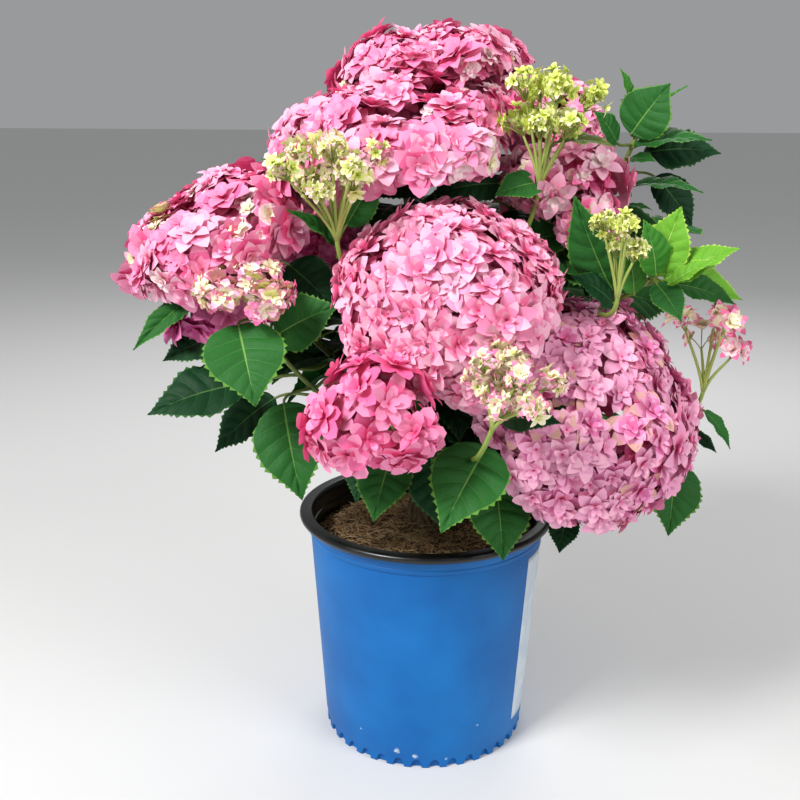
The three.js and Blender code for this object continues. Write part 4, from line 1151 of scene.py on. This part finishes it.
# The rays of a head, how wide they fan in degrees, their reach, the radius of the knot on each, how
# much of a ball the florets cover there, their number and size, and what they wear.
BUD_HEADS = table("rays fan reach knot spread florets size dress", {
    "left_buds": (13, 36, 86, 12, 1.5, 15, 8.5, "cream"),
    "right_buds": (10, 28, 94, 13, 1.5, 17, 8.5, "lime"),
    "edge_buds": (7, 20, 72, 10, 1.5, 14, 6.5, "lime"),
    "front_buds": (11, 42, 63, 10, 1.5, 12, 9.5, "cream_blush"),
    "far_buds": (6, 28, 81, 10.5, 0.8, 4, 14.5, "pink_edge"),
})
SHORT_RAY = 0.72
DRESSES["cream"] = [
    (0.5, "lime pale_lime cream", "lime pale_lime cream"),
    (0.3, "pale_lime cream blush", "pale_lime cream cream"),
    (0.2, "lime pale_lime cream", "lime lime pale_lime"),
]
DRESSES["lime"] = [
    (0.6, "lime lime pale_lime", "lime pale_lime pale_lime"),
    (0.4, "lime pale_lime cream", "lime lime pale_lime"),
]
DRESSES["cream_blush"] = [
    (0.45, "pale_lime cream cream", "lime pale_lime cream"),
    (0.35, "pale_lime cream soft", "pale_lime cream white"),
    (0.2, "cream white soft", "pale_lime cream blush"),
]
DRESSES["pink_edge"] = [
    (0.5, "cream white pink", "cream white soft"),
    (0.5, "cream cream soft", "pale_lime cream white"),
]
BUD_WHORLS = ((5, 1.0, 1.0, 44, 8, 0.25, 0.0), (4, 0.6, 0.9, 66, 40, 0.35, 0.05))
buds = Bundle()
for order, (name, head) in enumerate(BUD_HEADS.items()):
    source = np.random.default_rng(301 + order)
    tip, (across, side, lean) = axes_at(name)
    for i in range(head["rays"]):
        aside, angle = math.radians(head["fan"]) * math.sqrt(i / (head["rays"] - 1)), i * GOLDEN_ANGLE
        way = lean * math.cos(aside) + math.sin(aside) * (across * math.cos(angle) + side * math.sin(angle))
        middle = tip + way * (head["reach"] * (SHORT_RAY if i % 2 else 1) - head["knot"])
        fork = middle - way * head["knot"]
        curve = np.array([tip - lean * 3, tip + (lean + way) * 8, fork - way * 8, fork])
        rays.add(*tapering(curve, 7, 1.6, 1.0, 6), GREEN_RAY)
        count = head["florets"]
        outward = spiral(count, 1 - head["spread"], order + i) @ np.array([across, side, way])
        outward = unit(outward + source.normal(0, 0.3, (count, 3)))
        reach = head["knot"] * source.uniform(0.35, 1.12, count)
        centres = middle + outward * reach[:, None]
        sizes = head["size"] * source.uniform(0.5, 1.15, count)
        colours = dress_florets(head["dress"], count, source)
        sepals(buds, centres - outward * 2, outward, sizes, source, BUD_WHORLS, colours, "bud")
        for centre in centres:
            stalk = np.array([fork, (fork + centre) / 2 + way, centre])
            rays.add(*tube(stalk, [0.7, 0.55, 0.5], 3), GREEN_RAY)
bud_piece = buds.piece("bud_clusters", petal_finishes)
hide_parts(*["buds_" + name for name in BUD_HEADS])

ray_piece = rays.piece("flower_stalks", [
    finish("ray_tan", srgb(172, 128, 96), 0.6, (2, 0.1)),
    finish("ray_pink", srgb(196, 118, 112), 0.6, (2, 0.1)),
    finish("ray_green", srgb(164, 182, 92), 0.55, (2, 0.1)),
])
stem_piece = stems.piece("leafy_stems", STEM_FINISHES)


# ---- Floor, light and camera
# A pale studio floor, a soft light from the upper left in front, weaker ones from the right and from
# behind, and the camera where the photograph was taken from.

CAMERA = {"place": (-0.026, -0.904, 0.588), "down": 15.9, "roll": 0.37, "lens": 45, "sensor": 36}
FLOOR_REACH = 40
SKY_STRENGTH = 0.33

floor_mesh = bpy.data.meshes.new("floor")
floor_corners = [(x * FLOOR_REACH, y * FLOOR_REACH, 0) for x, y in ((-1, -1), (1, -1), (1, 1), (-1, 1))]
floor_mesh.from_pydata(floor_corners, [], [(0, 1, 2, 3)])
floor_mesh.materials.append(finish("studio_floor", (0.74, 0.74, 0.73, 1), 0.9, (40, 0.05)))
floor = bpy.data.objects.new("floor", floor_mesh)
scene.collection.objects.link(floor)

world = bpy.data.worlds.new("studio")
world.use_nodes = True
sky = world.node_tree.nodes["Background"]
sky.inputs["Color"].default_value = (0.97, 0.98, 1.0, 1)
sky.inputs["Strength"].default_value = SKY_STRENGTH
scene.world = world
# Each light's name, its place, what it is aimed at, its width, all in metres, and its power in watts.
for name, place, aim, size, power in (
    ("key", (-1.2, -1.2, 1.9), (0, 0, 0.4), 0.7, 54),
    ("fill", (1.3, -1.2, 1.6), (0, 0, 0.4), 1.0, 17),
    ("rim_light", (0.4, 1.6, 1.7), (0, 0, 0.5), 1.2, 14),
):
    light_data = bpy.data.lights.new(name, "AREA")
    light_data.size = size
    light_data.energy = power
    light = bpy.data.objects.new(name, light_data)
    scene.collection.objects.link(light)
    light.location = place
    direction = np.array(aim) - np.array(place)
    tilt = math.acos(-direction[2] / np.linalg.norm(direction))
    light.rotation_euler = (tilt, 0, math.atan2(direction[1], direction[0]) - math.pi / 2)

camera_data = bpy.data.cameras.new("camera")
camera_data.lens = CAMERA["lens"]
camera_data.sensor_width = CAMERA["sensor"]
camera = bpy.data.objects.new("camera", camera_data)
scene.collection.objects.link(camera)
camera.location = CAMERA["place"]
down, roll = math.radians(CAMERA["down"]), math.radians(CAMERA["roll"])
ahead = Vector((0, math.cos(down), -math.sin(down)))
level = Vector((1, 0, 0))
aloft = Vector((0, math.sin(down), math.cos(down)))
right_hand = math.cos(roll) * level + math.sin(roll) * aloft
aloft = math.cos(roll) * aloft - math.sin(roll) * level
camera.rotation_euler = Matrix((right_hand, aloft, -ahead)).transposed().to_euler()
scene.camera = camera
scene.view_settings.view_transform = "Standard"
